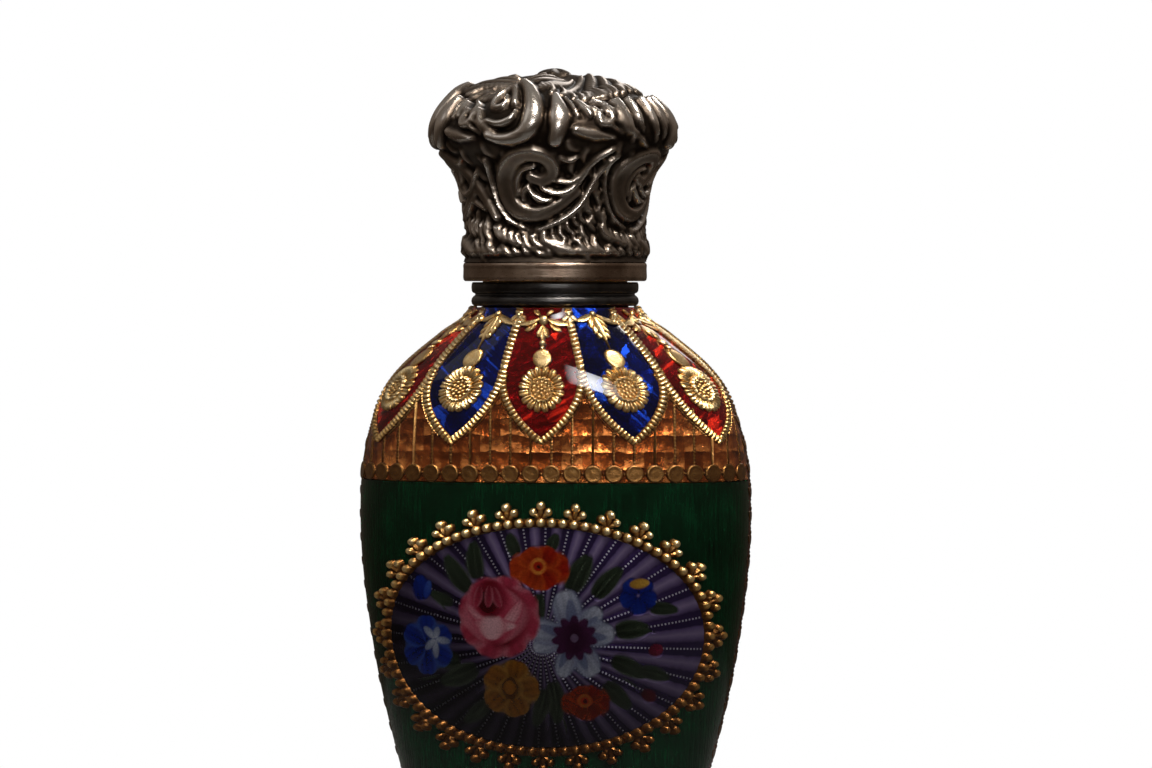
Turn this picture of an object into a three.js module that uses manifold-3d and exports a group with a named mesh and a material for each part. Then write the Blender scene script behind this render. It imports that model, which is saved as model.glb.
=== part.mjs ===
// Scent bottle: an enamelled metal flask with applied gold, a raised silver cap and a glass stopper.
// Millimetres, +Z up. The broad decorated face looks along -Y, and the foot stands on Z = 0.
import * as THREE from 'three';
import { mergeVertices } from 'three/addons/utils/BufferGeometryUtils.js';
import Module from 'manifold-3d';

const wasm = await Module();
wasm.setup();

// Flask form
const flaskWidth = 41.2;
const flaskDepth = 21.5;
const widestHeight = 49.2;
const neckHeight = 71.3;
const neckRadius = 8.6;
const footHalfWidth = 9.2;
const footHalfDepth = 6.2;
const footHeight = 2.6;
// 2 is an ellipse, more is boxier: the section goes from round at the neck to this at the widest
const sectionPower = 2.25;
// Share of the way from the widest height to the neck or foot, and share of the swell still left
const shoulderShape = [[0.4, 0.925], [0.665, 0.69], [0.87, 0.26], [0.94, 0.075]];
const flankShape = [[0.315, 0.865], [0.565, 0.63], [0.775, 0.375]];

// Layers of the flask's wall, from the enamel's face inwards
const enamelThickness = 0.35;
const enamelBed = 0.5;
const wallThickness = 0.9;
// Joints between neighbouring enamel fields, and the gold's bed above them
const fieldJoint = 0.12;
const goldBed = 0.2;
const goldThickness = 0.22;

// Decoration, counted on one broad face
const lappetCount = 5;
const sideStripeWidth = 2;
const lappetTopHeight = 70.5;
const lappetSplitHeight = 65.5;
const lappetTipHeight = 57.4;
const lappetCurve = 2.2;
const borderWidth = 0.8;
const enamelFootHeight = 2.9;
const groundSplitHeight = 53.2;
const discRowHeight = 53.9;
const discRadius = 0.9;
const discPitch = 2.13;
const discLinkWidth = 0.4;
const rosetteHeight = 62.1;
const rosetteRadius = 2.4;
const beadHeight = 65.7;
const beadRadius = 0.95;
const palmetteHeight = 68.6;
const palmetteReach = 2.3;
const palmetteSpread = 2;
const stemWidth = 0.5;
const medallionHeight = 37.2;
const medallionHalfArc = 17.2;
const medallionHalfHeight = 11.4;
const medallionEdge = 1.0;
const trefoilCount = 28;
const trefoilReach = 1.3;
const leafPitch = 2.5;
const leafReach = 0.95;
const leafStemWidth = 0.5;

// Neck and stopper
const collarTop = 73.8;
const collarRadius = 8.8;
const collarGroove = 0.45;
const neckTubeRadius = 7.6;
const neckTubeWall = 0.8;
const neckTubeRise = 5.7;
const mouthBore = 3.3;
const throatWall = 1;
const throatBottom = 68;
const mouthLip = 3;
const turnedFit = 0.1;
const stopperFit = 0.1;
const stopperPlugLength = 9;
const stopperTaper = 0.35;
const stopperFlange = 4.9;
const stopperWaist = 2.2;
const stopperHead = 5;
const stopperHeadHeight = 7.2;

// Cap
const capSeat = 0.1;
const capBandHeight = 2;
const capBandRadius = 9.65;
const capDrumRadius = 9.6;
const capDrumHeight = 13.4;
const capWaistRadius = 9.2;
const capRimRadius = 12.65;
const capDomeHeight = 6.3;
const capBossRadius = 1.9;
const capBossHeight = 0.8;
const capWall = 0.9;
const capBore = 8.6;
const capBoreTop = 84;
const linerFit = 0.15;
const linerWall = 0.6;
const linerHeight = 6.4;
const scrollCount = 5;
const scrollAngle = -0.148;
// The raised strokes narrow and sink at their tips to these shares
const tipWidth = 0.35;
const tipRise = 0.3;
const stepsPerPlace = 1.2;
const capGroundDepth = 0.15;
const capFold = 0.6;
// How far the rows of the cap's skin crowd towards the crown, 0 for even rows
const capRowEase = 0.4;

// Foot
const basePlateThickness = 0.8;
const footRingWall = 1.8;
const footFlare = 0.5;
const footBead = 0.3;

const neckTubeTop = collarTop + neckTubeRise;
const mergeDistance = 1e-4;

// Closed meshes and their joins
const mix = THREE.MathUtils.lerp;

function closedGeometry(points) {
  const loose = new THREE.BufferGeometry();
  const numbers = points.flatMap((point) => [point.x, point.y, point.z]);
  loose.setAttribute('position', new THREE.Float32BufferAttribute(numbers, 3));
  const merged = mergeVertices(loose, mergeDistance);
  const corners = merged.index.array;
  const kept = [];
  for (let i = 0; i < corners.length; i += 3) {
    const [a, b, c] = [corners[i], corners[i + 1], corners[i + 2]];
    if (a !== b && b !== c && c !== a) kept.push(a, b, c);
  }
  merged.setIndex(kept);
  merged.computeVertexNormals();
  return merged;
}

function toSolid(geometry) {
  const bare = geometry.clone();
  bare.deleteAttribute('normal');
  bare.deleteAttribute('uv');
  const merged = mergeVertices(bare, mergeDistance);
  const vertProperties = new Float32Array(merged.attributes.position.array);
  const triVerts = new Uint32Array(merged.index.array);
  return new wasm.Manifold(new wasm.Mesh({ numProp: 3, vertProperties, triVerts }));
}

function fromSolid(solid) {
  const mesh = solid.getMesh();
  const geometry = new THREE.BufferGeometry();
  geometry.setAttribute('position', new THREE.Float32BufferAttribute(mesh.vertProperties, 3));
  geometry.setIndex([...mesh.triVerts]);
  geometry.computeVertexNormals();
  return geometry;
}

function join(geometries) {
  const solids = geometries.map(toSolid);
  return fromSolid(solids.reduce((whole, solid) => whole.add(solid)));
}

// Swell of the flask: 1 at the widest height, 0 at the neck and the foot
function swellCurve() {
  const heightAt = (end, share) => mix(widestHeight, end, share);
  const flank = flankShape.map(([share, swell]) => [heightAt(footHeight, share), swell]).reverse();
  const shoulder = shoulderShape.map(([share, swell]) => [heightAt(neckHeight, share), swell]);
  const stations = [[footHeight, 0], ...flank, [widestHeight, 1], ...shoulder, [neckHeight, 0]];
  const heights = stations.map((station) => station[0]);
  const swells = stations.map((station) => station[1]);
  return new THREE.CubicInterpolant(heights, swells, 1);
}
const swell = swellCurve();

function swellAt(height) {
  const clamped = THREE.MathUtils.clamp(height, footHeight, neckHeight);
  return swell.evaluate(clamped)[0];
}

function halfWidthAt(height) {
  const end = height > widestHeight ? neckRadius : footHalfWidth;
  return mix(end, flaskWidth / 2, swellAt(height));
}

function halfDepthAt(height) {
  const end = height > widestHeight ? neckRadius : footHalfDepth;
  return mix(end, flaskDepth / 2, swellAt(height));
}

// A sloping wall is thicker when it is measured level, by this factor
function levelFactor(halfSize, height) {
  const step = 0.2;
  const slope = (halfSize(height + step) - halfSize(height - step)) / (2 * step);
  return Math.hypot(1, slope);
}

// Point of the flask at an angle from the front centre, raised from the enamel's face by lift
function sectionPoint(angle, height, lift) {
  const across = halfWidthAt(height) + lift * levelFactor(halfWidthAt, height);
  const deep = halfDepthAt(height) + lift * levelFactor(halfDepthAt, height);
  const power = mix(2, sectionPower, swellAt(height));
  const sine = Math.sin(angle);
  const cosine = Math.cos(angle);
  const fullness = Math.abs(sine / across) ** power + Math.abs(cosine / deep) ** power;
  const reach = fullness ** (-1 / power);
  return new THREE.Vector3(reach * sine, -reach * cosine, height);
}

// Lengths along the section from the front centre to the narrow side
const arcSteps = 30;
const arcTables = new Map();
function arcTable(height) {
  if (!arcTables.has(height)) {
    const lengths = [0];
    let last = sectionPoint(0, height, 0);
    for (let i = 1; i <= arcSteps; i++) {
      const next = sectionPoint(i / arcSteps * Math.PI / 2, height, 0);
      lengths.push(lengths[i - 1] + next.distanceTo(last));
      last = next;
    }
    arcTables.set(height, lengths);
  }
  return arcTables.get(height);
}

function quarterArc(height) {
  return arcTable(height)[arcSteps];
}

// Share 0 is the front centre, 1 the right narrow side and -1 the left one
function angleAt(share, height) {
  if (share < 0) return -angleAt(-share, height);
  if (share > 1) return Math.PI - angleAt(2 - share, height);
  const lengths = arcTable(height);
  const wanted = share * lengths[arcSteps];
  let i = 0;
  while (i < arcSteps - 1 && lengths[i + 1] < wanted) i++;
  const part = (wanted - lengths[i]) / (lengths[i + 1] - lengths[i]);
  return (i + part) / arcSteps * Math.PI / 2;
}

function skin(share, height, lift) {
  return sectionPoint(angleAt(share, height), height, lift);
}

// Closed sheet on the flask: place(row, column) gives [share, height], low and high its two lifts
function sheet(rows, columns, place, low, high, { ring = false } = {}) {
  const liftOf = (lift, row, column) => (typeof lift === 'function' ? lift(row, column) : lift);
  const wrap = (column) => (ring ? column % columns : column);
  const point = (lift, row, column) => {
    const [share, height] = place(row, wrap(column));
    return skin(share, height, liftOf(lift, row, wrap(column)));
  };
  const grid = (lift) => Array.from({ length: rows + 1 }, (_, row) =>
    Array.from({ length: columns + 1 }, (_, column) => point(lift, row, column)));
  const face = grid(high);
  const under = grid(low);
  const points = [];
  const quad = (a, b, c, d) => points.push(a, b, c, a, c, d);
  for (let r = 0; r < rows; r++) {
    for (let c = 0; c < columns; c++) {
      quad(face[r][c], face[r][c + 1], face[r + 1][c + 1], face[r + 1][c]);
      quad(under[r][c], under[r + 1][c], under[r + 1][c + 1], under[r][c + 1]);
    }
  }
  for (let c = 0; c < columns; c++) {
    quad(under[0][c], under[0][c + 1], face[0][c + 1], face[0][c]);
    quad(face[rows][c], face[rows][c + 1], under[rows][c + 1], under[rows][c]);
  }
  if (!ring) {
    for (let r = 0; r < rows; r++) {
      quad(under[r][0], face[r][0], face[r + 1][0], under[r + 1][0]);
      quad(face[r][columns], under[r][columns], under[r + 1][columns], face[r + 1][columns]);
    }
  }
  return closedGeometry(points);
}

// Flat strip of even width along a list of places
function strip(places, width, low, high) {
  const centres = places.map(([share, height]) => skin(share, height, 0));
  const outs = places.map(([share, height], i) => skin(share, height, 1).sub(centres[i]).normalize());
  const sides = centres.map((centre, i) => {
    const before = centres[Math.max(i - 1, 0)];
    const after = centres[Math.min(i + 1, centres.length - 1)];
    const into = centre.clone().sub(before).normalize();
    const onward = after.clone().sub(centre).normalize();
    const along = into.clone().add(onward).normalize();
    const side = along.cross(outs[i]).normalize();
    const straight = Math.max(into.length() ? into.cross(outs[i]).dot(side) : 1, 0.5);
    return side.multiplyScalar(width / 2 / straight);
  });
  const corner = (i, hand, lift) => {
    const [share, height] = places[i];
    const level = new THREE.Vector3(-outs[i].y, outs[i].x, 0).normalize();
    const newHeight = height + hand * sides[i].z;
    const across = hand * sides[i].dot(level) / quarterArc(newHeight);
    return skin(share + across, newHeight, lift);
  };
  const points = [];
  const quad = (a, b, c, d) => points.push(a, b, c, a, c, d);
  const ring = (i) => [corner(i, 1, low), corner(i, 1, high), corner(i, -1, high), corner(i, -1, low)];
  const last = centres.length - 1;
  for (let i = 0; i < last; i++) {
    const here = ring(i);
    const next = ring(i + 1);
    for (let k = 0; k < 4; k++) quad(here[k], next[k], next[(k + 1) % 4], here[(k + 1) % 4]);
  }
  quad(...ring(0));
  quad(...ring(last).reverse());
  return closedGeometry(points);
}

// Metal shells
function shell() {
  const rows = 9;
  const columns = 10;
  const high = -(enamelThickness + enamelBed);
  const place = (row, column) => {
    const height = mix(footHeight, neckHeight, row / rows);
    return [mix(-1, 1, column / columns), height];
  };
  return sheet(rows, columns, place, high - wallThickness, high);
}

// Enamel fields
const enamelLow = -enamelThickness;
const goldHigh = goldBed + goldThickness;

// Share of the broad face at a height: side runs from -1 to 1 between the two narrow stripes
function faceShare(side, height) {
  return side * (1 - (sideStripeWidth / 2 + fieldJoint) / quarterArc(height));
}

// Side of the face at a part of one lappet's half width, from -1 at its left edge to 1
function lappetSide(index, part) {
  return (2 * index + 1 + part) / lappetCount - 1;
}

// A lappet is full width down to the split, then drawn in to a pointed tip through these levels
const edgeLevels = [0, 0.25, 0.5, 0.75, 1];
const edgeSteps = edgeLevels.length - 1;
const edgeHeight = (level) => mix(lappetTipHeight, lappetSplitHeight, level);
const edgePart = (level) => 1 - (1 - level) ** lappetCurve;

function lappet(index) {
  const upperRows = 2;
  const columns = 2;
  const tipPart = 0.04;
  const place = (row, column) => {
    const level = edgeLevels[Math.min(row, edgeSteps)];
    const above = Math.max(row - edgeSteps, 0) / upperRows;
    const height = row === 0 ? lappetTipHeight + borderWidth / 2
      : mix(edgeHeight(level), lappetTopHeight, above);
    const inset = fieldJoint * lappetCount / quarterArc(height);
    const part = Math.max(edgePart(level) - inset, tipPart) * mix(-1, 1, column / columns);
    return [faceShare(lappetSide(index, part), height), height];
  };
  return sheet(edgeSteps + upperRows, columns, place, enamelLow, 0);
}

function copperGround() {
  const rows = 3;
  const perLappet = 2 * edgeSteps;
  const columns = perLappet * lappetCount;
  const place = (row, column) => {
    const index = Math.min(Math.floor(column / perLappet), lappetCount - 1);
    const step = column - index * perLappet - edgeSteps;
    const level = edgeLevels[Math.abs(step)];
    const top = edgeHeight(level) - borderWidth / 2;
    const height = mix(groundSplitHeight + fieldJoint / 2, top, row / rows);
    return [faceShare(lappetSide(index, Math.sign(step) * edgePart(level)), height), height];
  };
  return sheet(rows, columns, place, enamelLow, 0);
}

// Oval about the medallion's centre, grown by a distance, at an angle from its right end
function medallionPlace(angle, growth) {
  const right = (medallionHalfArc + growth) * Math.cos(angle);
  const height = medallionHeight + (medallionHalfHeight + growth) * Math.sin(angle);
  return [right / quarterArc(height), height];
}

function medallion() {
  const columns = 28;
  const rings = 3;
  const place = (row, column) => {
    const angle = -2 * Math.PI * column / columns;
    const share = row / rings;
    const right = medallionHalfArc * share * Math.cos(angle);
    const height = medallionHeight + medallionHalfHeight * share * Math.sin(angle);
    return [right / quarterArc(height), height];
  };
  return sheet(rings, columns, place, enamelLow, 0, { ring: true });
}

// Green field: rings that run from the medallion's window out to the field's straight edges
function greenGround() {
  const columns = 40;
  const rings = 4;
  const bottom = enamelFootHeight;
  const top = groundSplitHeight - fieldJoint / 2;
  // Goes round a square instead of a circle, a quarter turn for each side
  const squareWave = (turns) => THREE.MathUtils.clamp(2 * Math.abs(turns % 4 - 2) - 2, -1, 1);
  const place = (row, column) => {
    const turns = 4 * column / columns;
    const [innerShare, innerHeight] = medallionPlace(-turns * Math.PI / 2, fieldJoint);
    const across = squareWave(turns);
    const rise = -squareWave(turns + 3);
    const outerHeight = medallionHeight
      + rise * (rise > 0 ? top - medallionHeight : medallionHeight - bottom);
    const outerShare = faceShare(across, outerHeight);
    const out = row / rings;
    return [mix(innerShare, outerShare, out), mix(innerHeight, outerHeight, out)];
  };
  return sheet(rings, columns, place, enamelLow, 0, { ring: true });
}

function sideStripe() {
  const rows = 14;
  const columns = 2;
  const place = (row, column) => {
    const height = mix(enamelFootHeight, lappetTopHeight, row / rows);
    const half = sideStripeWidth / 2 / quarterArc(height);
    return [1 + mix(-1, 1, column / columns) * half, height];
  };
  return sheet(rows, columns, place, enamelLow, 0);
}

// Applied gold
function medallionBorder() {
  const lobes = [0.15, 0.9, 0.9];
  const columns = trefoilCount * lobes.length;
  const inner = -fieldJoint;
  const place = (row, column) => {
    const angle = -2 * Math.PI * column / columns;
    const outer = medallionEdge + trefoilReach * lobes[column % lobes.length];
    return medallionPlace(angle, row === 0 ? inner : outer);
  };
  return sheet(1, columns, place, goldBed, goldHigh, { ring: true });
}

function lappetBorders() {
  const uprightSteps = 2;
  const edgeShare = (side, height) => {
    const inset = borderWidth / 2 / quarterArc(height);
    return THREE.MathUtils.clamp(faceShare(side, height), faceShare(-1, height) + inset,
      faceShare(1, height) - inset);
  };
  const zigzag = [];
  for (let index = 0; index < lappetCount; index++) {
    for (let step = index === 0 ? -edgeSteps : 1 - edgeSteps; step <= edgeSteps; step++) {
      const level = edgeLevels[Math.abs(step)];
      const side = lappetSide(index, Math.sign(step) * edgePart(level));
      zigzag.push([edgeShare(side, edgeHeight(level)), edgeHeight(level)]);
    }
  }
  const strips = [strip(zigzag, borderWidth, goldBed, goldHigh)];
  for (let line = 0; line <= lappetCount; line++) {
    const upright = [];
    for (let step = 0; step <= uprightSteps; step++) {
      const height = mix(lappetSplitHeight - borderWidth / 2, lappetTopHeight, step / uprightSteps);
      upright.push([edgeShare(lappetSide(line, -1), height), height]);
    }
    strips.push(strip(upright, borderWidth, goldBed + 0.02, goldHigh + 0.03));
  }
  return join(strips);
}

// A pendant's outline from the rosette's foot up to the palmette's crown: height and half width
function pendantOutline(isBlue) {
  const outline = [];
  for (let step = 0; step <= 6; step++) {
    const turn = Math.PI * step / 6;
    outline.push([rosetteHeight - rosetteRadius * Math.cos(turn), rosetteRadius * Math.sin(turn)]);
  }
  for (let step = 0; step <= 3; step++) {
    const turn = Math.PI * step / 3;
    outline.push([beadHeight - beadRadius * Math.cos(turn), beadRadius * Math.sin(turn)]);
  }
  const leaf = isBlue ? [[-0.75, 0.3], [-0.1, 1], [0.45, 0.55]] : [[-0.5, 0.15], [0, 1], [0.4, 0.5]];
  for (const [rise, spread] of leaf) {
    outline.push([palmetteHeight + palmetteReach * rise, palmetteSpread * spread]);
  }
  outline.push([palmetteHeight + palmetteReach * 0.8, 0]);
  return outline.map(([height, half]) => [height, Math.max(half, stemWidth / 2)]);
}

function pendant(index) {
  const outline = pendantOutline(index % 2 === 1);
  const rows = outline.length - 1;
  const place = (row, column) => {
    const [height, half] = outline[row];
    return [faceShare(lappetSide(index, 0), height) + (column - 1) * half / quarterArc(height), height];
  };
  const rise = (row, column) => goldHigh + (column === 1 ? 0.1 * outline[row][1] : 0);
  return sheet(rows, 2, place, goldBed, rise);
}

// Discs of one row, joined by a fine wire that they sit on
function discRow() {
  const span = 2 * quarterArc(discRowHeight) * faceShare(1, discRowHeight);
  const count = Math.floor(span / discPitch);
  const profile = [[-0.5 * discPitch, 0], [-0.45 * discRadius, 1], [0.45 * discRadius, 1]];
  const columns = count * profile.length;
  const place = (row, column) => {
    const disc = Math.floor(column / profile.length) - (count - 1) / 2;
    const [side, rise] = profile[column % profile.length];
    const half = Math.max(discRadius * rise, discLinkWidth / 2);
    const right = disc * discPitch + side;
    const height = discRowHeight + (row === 0 ? -half : half);
    return [right / quarterArc(discRowHeight), height];
  };
  return sheet(1, columns, place, goldBed, goldHigh);
}

// Paired leaves on a stem down the narrow side
function sideSpray() {
  const bottom = enamelFootHeight + 0.3;
  const top = lappetTopHeight - 0.3;
  const leaves = Math.round((top - bottom) / leafPitch);
  const rows = leaves * 2;
  const place = (row, column) => {
    const height = mix(bottom, top, row / rows);
    const half = row % 2 === 1 ? leafReach : leafStemWidth / 2;
    return [1 + mix(-1, 1, column) * half / quarterArc(height), height];
  };
  return sheet(rows, 1, place, goldBed, goldHigh);
}

// Turned pieces
function turned(profile, segments) {
  const points = profile.map(([radius, height]) => new THREE.Vector2(radius, height));
  if (profile[0][0] > 0) points.push(points[0].clone());
  const geometry = new THREE.LatheGeometry(points, segments);
  geometry.rotateX(Math.PI / 2);
  return geometry;
}

function neckTube() {
  const inner = neckTubeRadius - neckTubeWall;
  return turned([
    [inner, neckHeight],
    [neckTubeRadius, neckHeight],
    [neckTubeRadius, neckTubeTop - 0.3],
    [neckTubeRadius - 0.3, neckTubeTop],
    [inner, neckTubeTop],
  ], 28);
}

function neckMouth() {
  const flange = neckTubeRadius - neckTubeWall - turnedFit;
  const throat = mouthBore + throatWall;
  const shoulder = neckTubeTop - mouthLip;
  return turned([
    [mouthBore, throatBottom],
    [throat, throatBottom],
    [throat, shoulder],
    [flange, shoulder],
    [flange, neckTubeTop],
    [flange - 0.5, neckTubeTop + 0.5],
    [mouthBore + 0.4, neckTubeTop + 0.5],
    [mouthBore, neckTubeTop + 0.1],
  ], 24);
}

function neckCollar() {
  const inner = neckTubeRadius + turnedFit;
  const rise = collarTop - neckHeight;
  return turned([
    [inner, neckHeight],
    [collarRadius - 0.3, neckHeight],
    [collarRadius, neckHeight + 0.12 * rise],
    [collarRadius, neckHeight + 0.38 * rise],
    [collarRadius - collarGroove, neckHeight + 0.5 * rise],
    [collarRadius - collarGroove, neckHeight + 0.6 * rise],
    [collarRadius, neckHeight + 0.72 * rise],
    [collarRadius, collarTop],
    [inner, collarTop],
  ], 28);
}

function stopper() {
  const seat = neckTubeTop + 0.5;
  const plug = mouthBore - stopperFit;
  const flangeTop = seat + 0.1 + 1;
  const top = seat + stopperHeadHeight;
  return turned([
    [0, seat - stopperPlugLength],
    [plug - stopperTaper - 0.4, seat - stopperPlugLength],
    [plug - stopperTaper, seat - stopperPlugLength + 0.4],
    [plug, seat - 0.3],
    [plug, seat + 0.1],
    [stopperFlange, seat + 0.1],
    [stopperFlange, flangeTop],
    [stopperWaist, flangeTop + 0.8],
    [stopperWaist, flangeTop + 1.6],
    [stopperHead, mix(flangeTop + 1.6, top, 0.45)],
    [stopperHead, top - 0.6],
    [stopperHead - 0.8, top],
    [0, top],
  ], 24);
}

// Foot: a plate under the shells and a moulded oval ring under the plate
function ovalRing(profile, segments) {
  const place = ([growth, height], angle) => {
    const point = sectionPoint(angle, footHeight, 0);
    const scale = new THREE.Vector3(1 + growth / footHalfWidth, 1 + growth / footHalfDepth, 1);
    point.multiply(scale).setZ(height);
    return point;
  };
  const points = [];
  for (let i = 0; i < segments; i++) {
    const from = 2 * Math.PI * i / segments;
    const to = 2 * Math.PI * ((i + 1) % segments) / segments;
    profile.forEach((here, k) => {
      const next = profile[(k + 1) % profile.length];
      const [a, b, c, d] = [place(here, from), place(here, to), place(next, to), place(next, from)];
      points.push(a, b, c, a, c, d);
    });
  }
  return closedGeometry(points);
}

function footRing() {
  const top = footHeight - basePlateThickness;
  return ovalRing([
    [-footRingWall, 0],
    [footFlare, 0],
    [footFlare, top * 0.3],
    [footFlare - footBead, top * 0.5],
    [footFlare, top * 0.7],
    [footFlare - 0.1, top],
    [-footRingWall, top],
  ], 28);
}

function basePlate() {
  const outline = new THREE.Shape();
  const steps = 32;
  for (let i = 0; i < steps; i++) {
    const point = sectionPoint(2 * Math.PI * i / steps, footHeight, 0);
    if (i === 0) outline.moveTo(point.x, point.y);
    else outline.lineTo(point.x, point.y);
  }
  const geometry = new THREE.ExtrudeGeometry(outline, { depth: basePlateThickness, bevelEnabled: false });
  geometry.translate(0, 0, footHeight - basePlateThickness);
  return geometry;
}

// Cap outline from the band's top edge over the rim to the crown, as [radius, height]
const capBottom = collarTop + capSeat;
const capShellBottom = capBottom + capBandHeight;
const capRimHeight = capShellBottom + capDrumHeight;
const capCrown = capRimHeight + capDomeHeight;

function capOutline() {
  const drumAt = (share) => mix(capShellBottom, capRimHeight, share);
  const domeAt = (share) => mix(capRimHeight, capCrown, share);
  const flareAt = (share) => mix(capWaistRadius, capRimRadius, share);
  return new THREE.SplineCurve([
    new THREE.Vector2(capDrumRadius, drumAt(0)),
    new THREE.Vector2(capDrumRadius, drumAt(0.12)),
    new THREE.Vector2(capWaistRadius, drumAt(0.32)),
    new THREE.Vector2(flareAt(0.15), drumAt(0.6)),
    new THREE.Vector2(flareAt(0.3), drumAt(0.71)),
    new THREE.Vector2(flareAt(0.8), drumAt(0.87)),
    new THREE.Vector2(capRimRadius, capRimHeight),
    new THREE.Vector2(capRimRadius * 0.94, domeAt(0.33)),
    new THREE.Vector2(capRimRadius * 0.74, domeAt(0.63)),
    new THREE.Vector2(capRimRadius * 0.35, domeAt(0.9)),
    new THREE.Vector2(0, capCrown),
  ]);
}
const outline = capOutline();
const outlineLength = outline.getLength();

// Distance along the outline, from the band up, to the place at a height
function runAt(height) {
  const steps = 100;
  let i = 0;
  while (i < steps && outline.getPointAt(i / steps).y < height) i++;
  return i / steps * outlineLength;
}

// Main raised strokes of the cap, once in every repeat. Each is a rounded roll from a blunt start
// to a pointed tip along a line of places: mm round the drum from the scroll's middle, and mm up
// from the scroll or from the rim.
const drumStrokes = [
  { // C-scroll
    line: [[0.9, 0.6], [2.3, 1], [1.9, 2.5], [-0.5, 2.8], [-2.3, 1], [-2.3, -1.5], [-0.5, -3],
      [2.3, -2.8], [5.4, -0.9]],
    wide: 0.72,
    rise: 0.72,
  },
  { line: [[-4.4, 2.4], [-4.4, -0.8], [-3, -3.9], [-0.4, -5.4]], wide: 0.6, rise: 0.5 },
  { line: [[1, -5.6], [4.3, -3.9], [6.6, -1.2], [8.1, 2]], wide: 0.75, rise: 0.6 },
];
const rimStrokes = [
  { // Spiral round the rim's bulb
    line: [[-0.9, 4.3], [1, 2.5], [0.9, 0.6], [-0.8, -0.7], [-3, -0.4]],
    wide: 1,
    rise: 0.8,
  },
  { line: [[3.2, 3.2], [3.5, 1], [3.1, -1.4]], wide: 1, rise: 0.75 },
  { line: [[6, 0.4], [7.8, 0.8], [8, 2.4], [6, 3.6]], wide: 0.75, rise: 0.65 },
];

// Folds of the dome, deepest half way out, and its boss
function domeRelief(angle, radius) {
  const fold = capFold * Math.sin(Math.PI * Math.min(radius / capRimRadius, 1));
  const boss = capBossHeight * Math.sqrt(Math.max(1 - (radius / capBossRadius) ** 2, 0));
  return fold * Math.cos(scrollCount * (angle - scrollAngle)) + boss;
}

// Radius of the cap's outline and the way out from it, at a distance along it
function outlineAt(run) {
  const step = 1e-3;
  const share = THREE.MathUtils.clamp(run / outlineLength, 0, 1);
  const ahead = outline.getPointAt(Math.min(share + step, 1));
  const behind = outline.getPointAt(Math.max(share - step, 0));
  const slope = ahead.sub(behind).normalize();
  return { here: outline.getPointAt(share), out: new THREE.Vector2(slope.y, -slope.x) };
}

// Point over the cap's outline: angle from the front, distance along the outline, lift above it
function capPoint(angle, run, lift) {
  const { here, out } = outlineAt(run);
  const raise = lift + (here.y > capRimHeight ? domeRelief(angle, here.x) : 0);
  const place = here.addScaledVector(out, raise);
  return new THREE.Vector3(place.x * Math.sin(angle), -place.x * Math.cos(angle), place.y);
}

function capRoll({ line, wide, rise }, level, turn) {
  const places = line.map(([aside, up]) => new THREE.Vector2(aside, runAt(level + up)));
  const centre = new THREE.SplineCurve(places);
  const steps = Math.round(stepsPerPlace * (line.length - 1));
  const low = -2 * capGroundDepth;
  const section = [[-1, low], [-0.5, rise], [0.5, rise], [1, low]];
  const ring = (i) => {
    const place = centre.getPoint(i / steps);
    const scale = outlineAt(place.y).here.x / capDrumRadius;
    const along = centre.getTangent(i / steps);
    along.x *= scale;
    along.normalize();
    const isTip = i === steps;
    const half = isTip ? wide * tipWidth : wide;
    return section.map(([side, lift]) => {
      const aside = place.x - along.y * side * half / scale;
      const run = place.y + along.x * side * half;
      const height = isTip && lift > 0 ? lift * tipRise : lift;
      return capPoint(turn + aside / capDrumRadius, run, height);
    });
  };
  const points = [];
  const quad = (a, b, c, d) => points.push(a, b, c, a, c, d);
  for (let i = 0; i < steps; i++) {
    const here = ring(i);
    const next = ring(i + 1);
    for (let k = 0; k < section.length; k++) {
      const m = (k + 1) % section.length;
      quad(here[k], next[k], next[m], here[m]);
    }
  }
  quad(...ring(0));
  quad(...ring(steps).reverse());
  return closedGeometry(points);
}

function capBody() {
  const columns = scrollCount * 7;
  const rows = 13;
  const floor = new THREE.Vector3(0, 0, capShellBottom);
  const grid = Array.from({ length: rows + 1 }, (_, row) => {
    const run = mix(row / rows, 1 - (1 - row / rows) ** 2, capRowEase) * outlineLength;
    return Array.from({ length: columns + 1 }, (_, column) => {
      if (row === rows) return new THREE.Vector3(0, 0, capCrown + capBossHeight);
      const angle = 2 * Math.PI * (column % columns) / columns;
      return capPoint(angle, run, row === 0 ? 0 : -capGroundDepth);
    });
  });
  const points = [];
  for (let c = 0; c < columns; c++) {
    points.push(floor, grid[0][c + 1], grid[0][c]);
    for (let r = 0; r < rows; r++) {
      const [a, b] = [grid[r][c], grid[r][c + 1]];
      const [d, e] = [grid[r + 1][c + 1], grid[r + 1][c]];
      points.push(a, b, d, a, d, e);
    }
  }
  return closedGeometry(points);
}

function capShell() {
  const scrollHeight = mix(capShellBottom, capRimHeight, 0.6);
  const pieces = [capBody()];
  for (let repeat = 0; repeat < scrollCount; repeat++) {
    const turn = scrollAngle + 2 * Math.PI * repeat / scrollCount;
    for (const stroke of drumStrokes) pieces.push(capRoll(stroke, scrollHeight, turn));
    for (const stroke of rimStrokes) pieces.push(capRoll(stroke, capRimHeight, turn));
  }
  return fromSolid(toSolid(join(pieces)).subtract(toSolid(capCavity())));
}

// Room inside the cap, cut from below: the liner's bore, then the dome's inside
function capCavity() {
  const inward = capWall + capFold;
  const start = capShellBottom - 1;
  const inside = [[0, start], [capBore, start], [capBore, capBoreTop]];
  for (const share of [0.55, 0.62, 0.7, 0.8, 0.9]) {
    const point = outline.getPointAt(share);
    inside.push([point.x - inward, point.y - inward * share]);
  }
  inside.push([0, capCrown - inward]);
  return turned(inside, 28);
}

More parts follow.
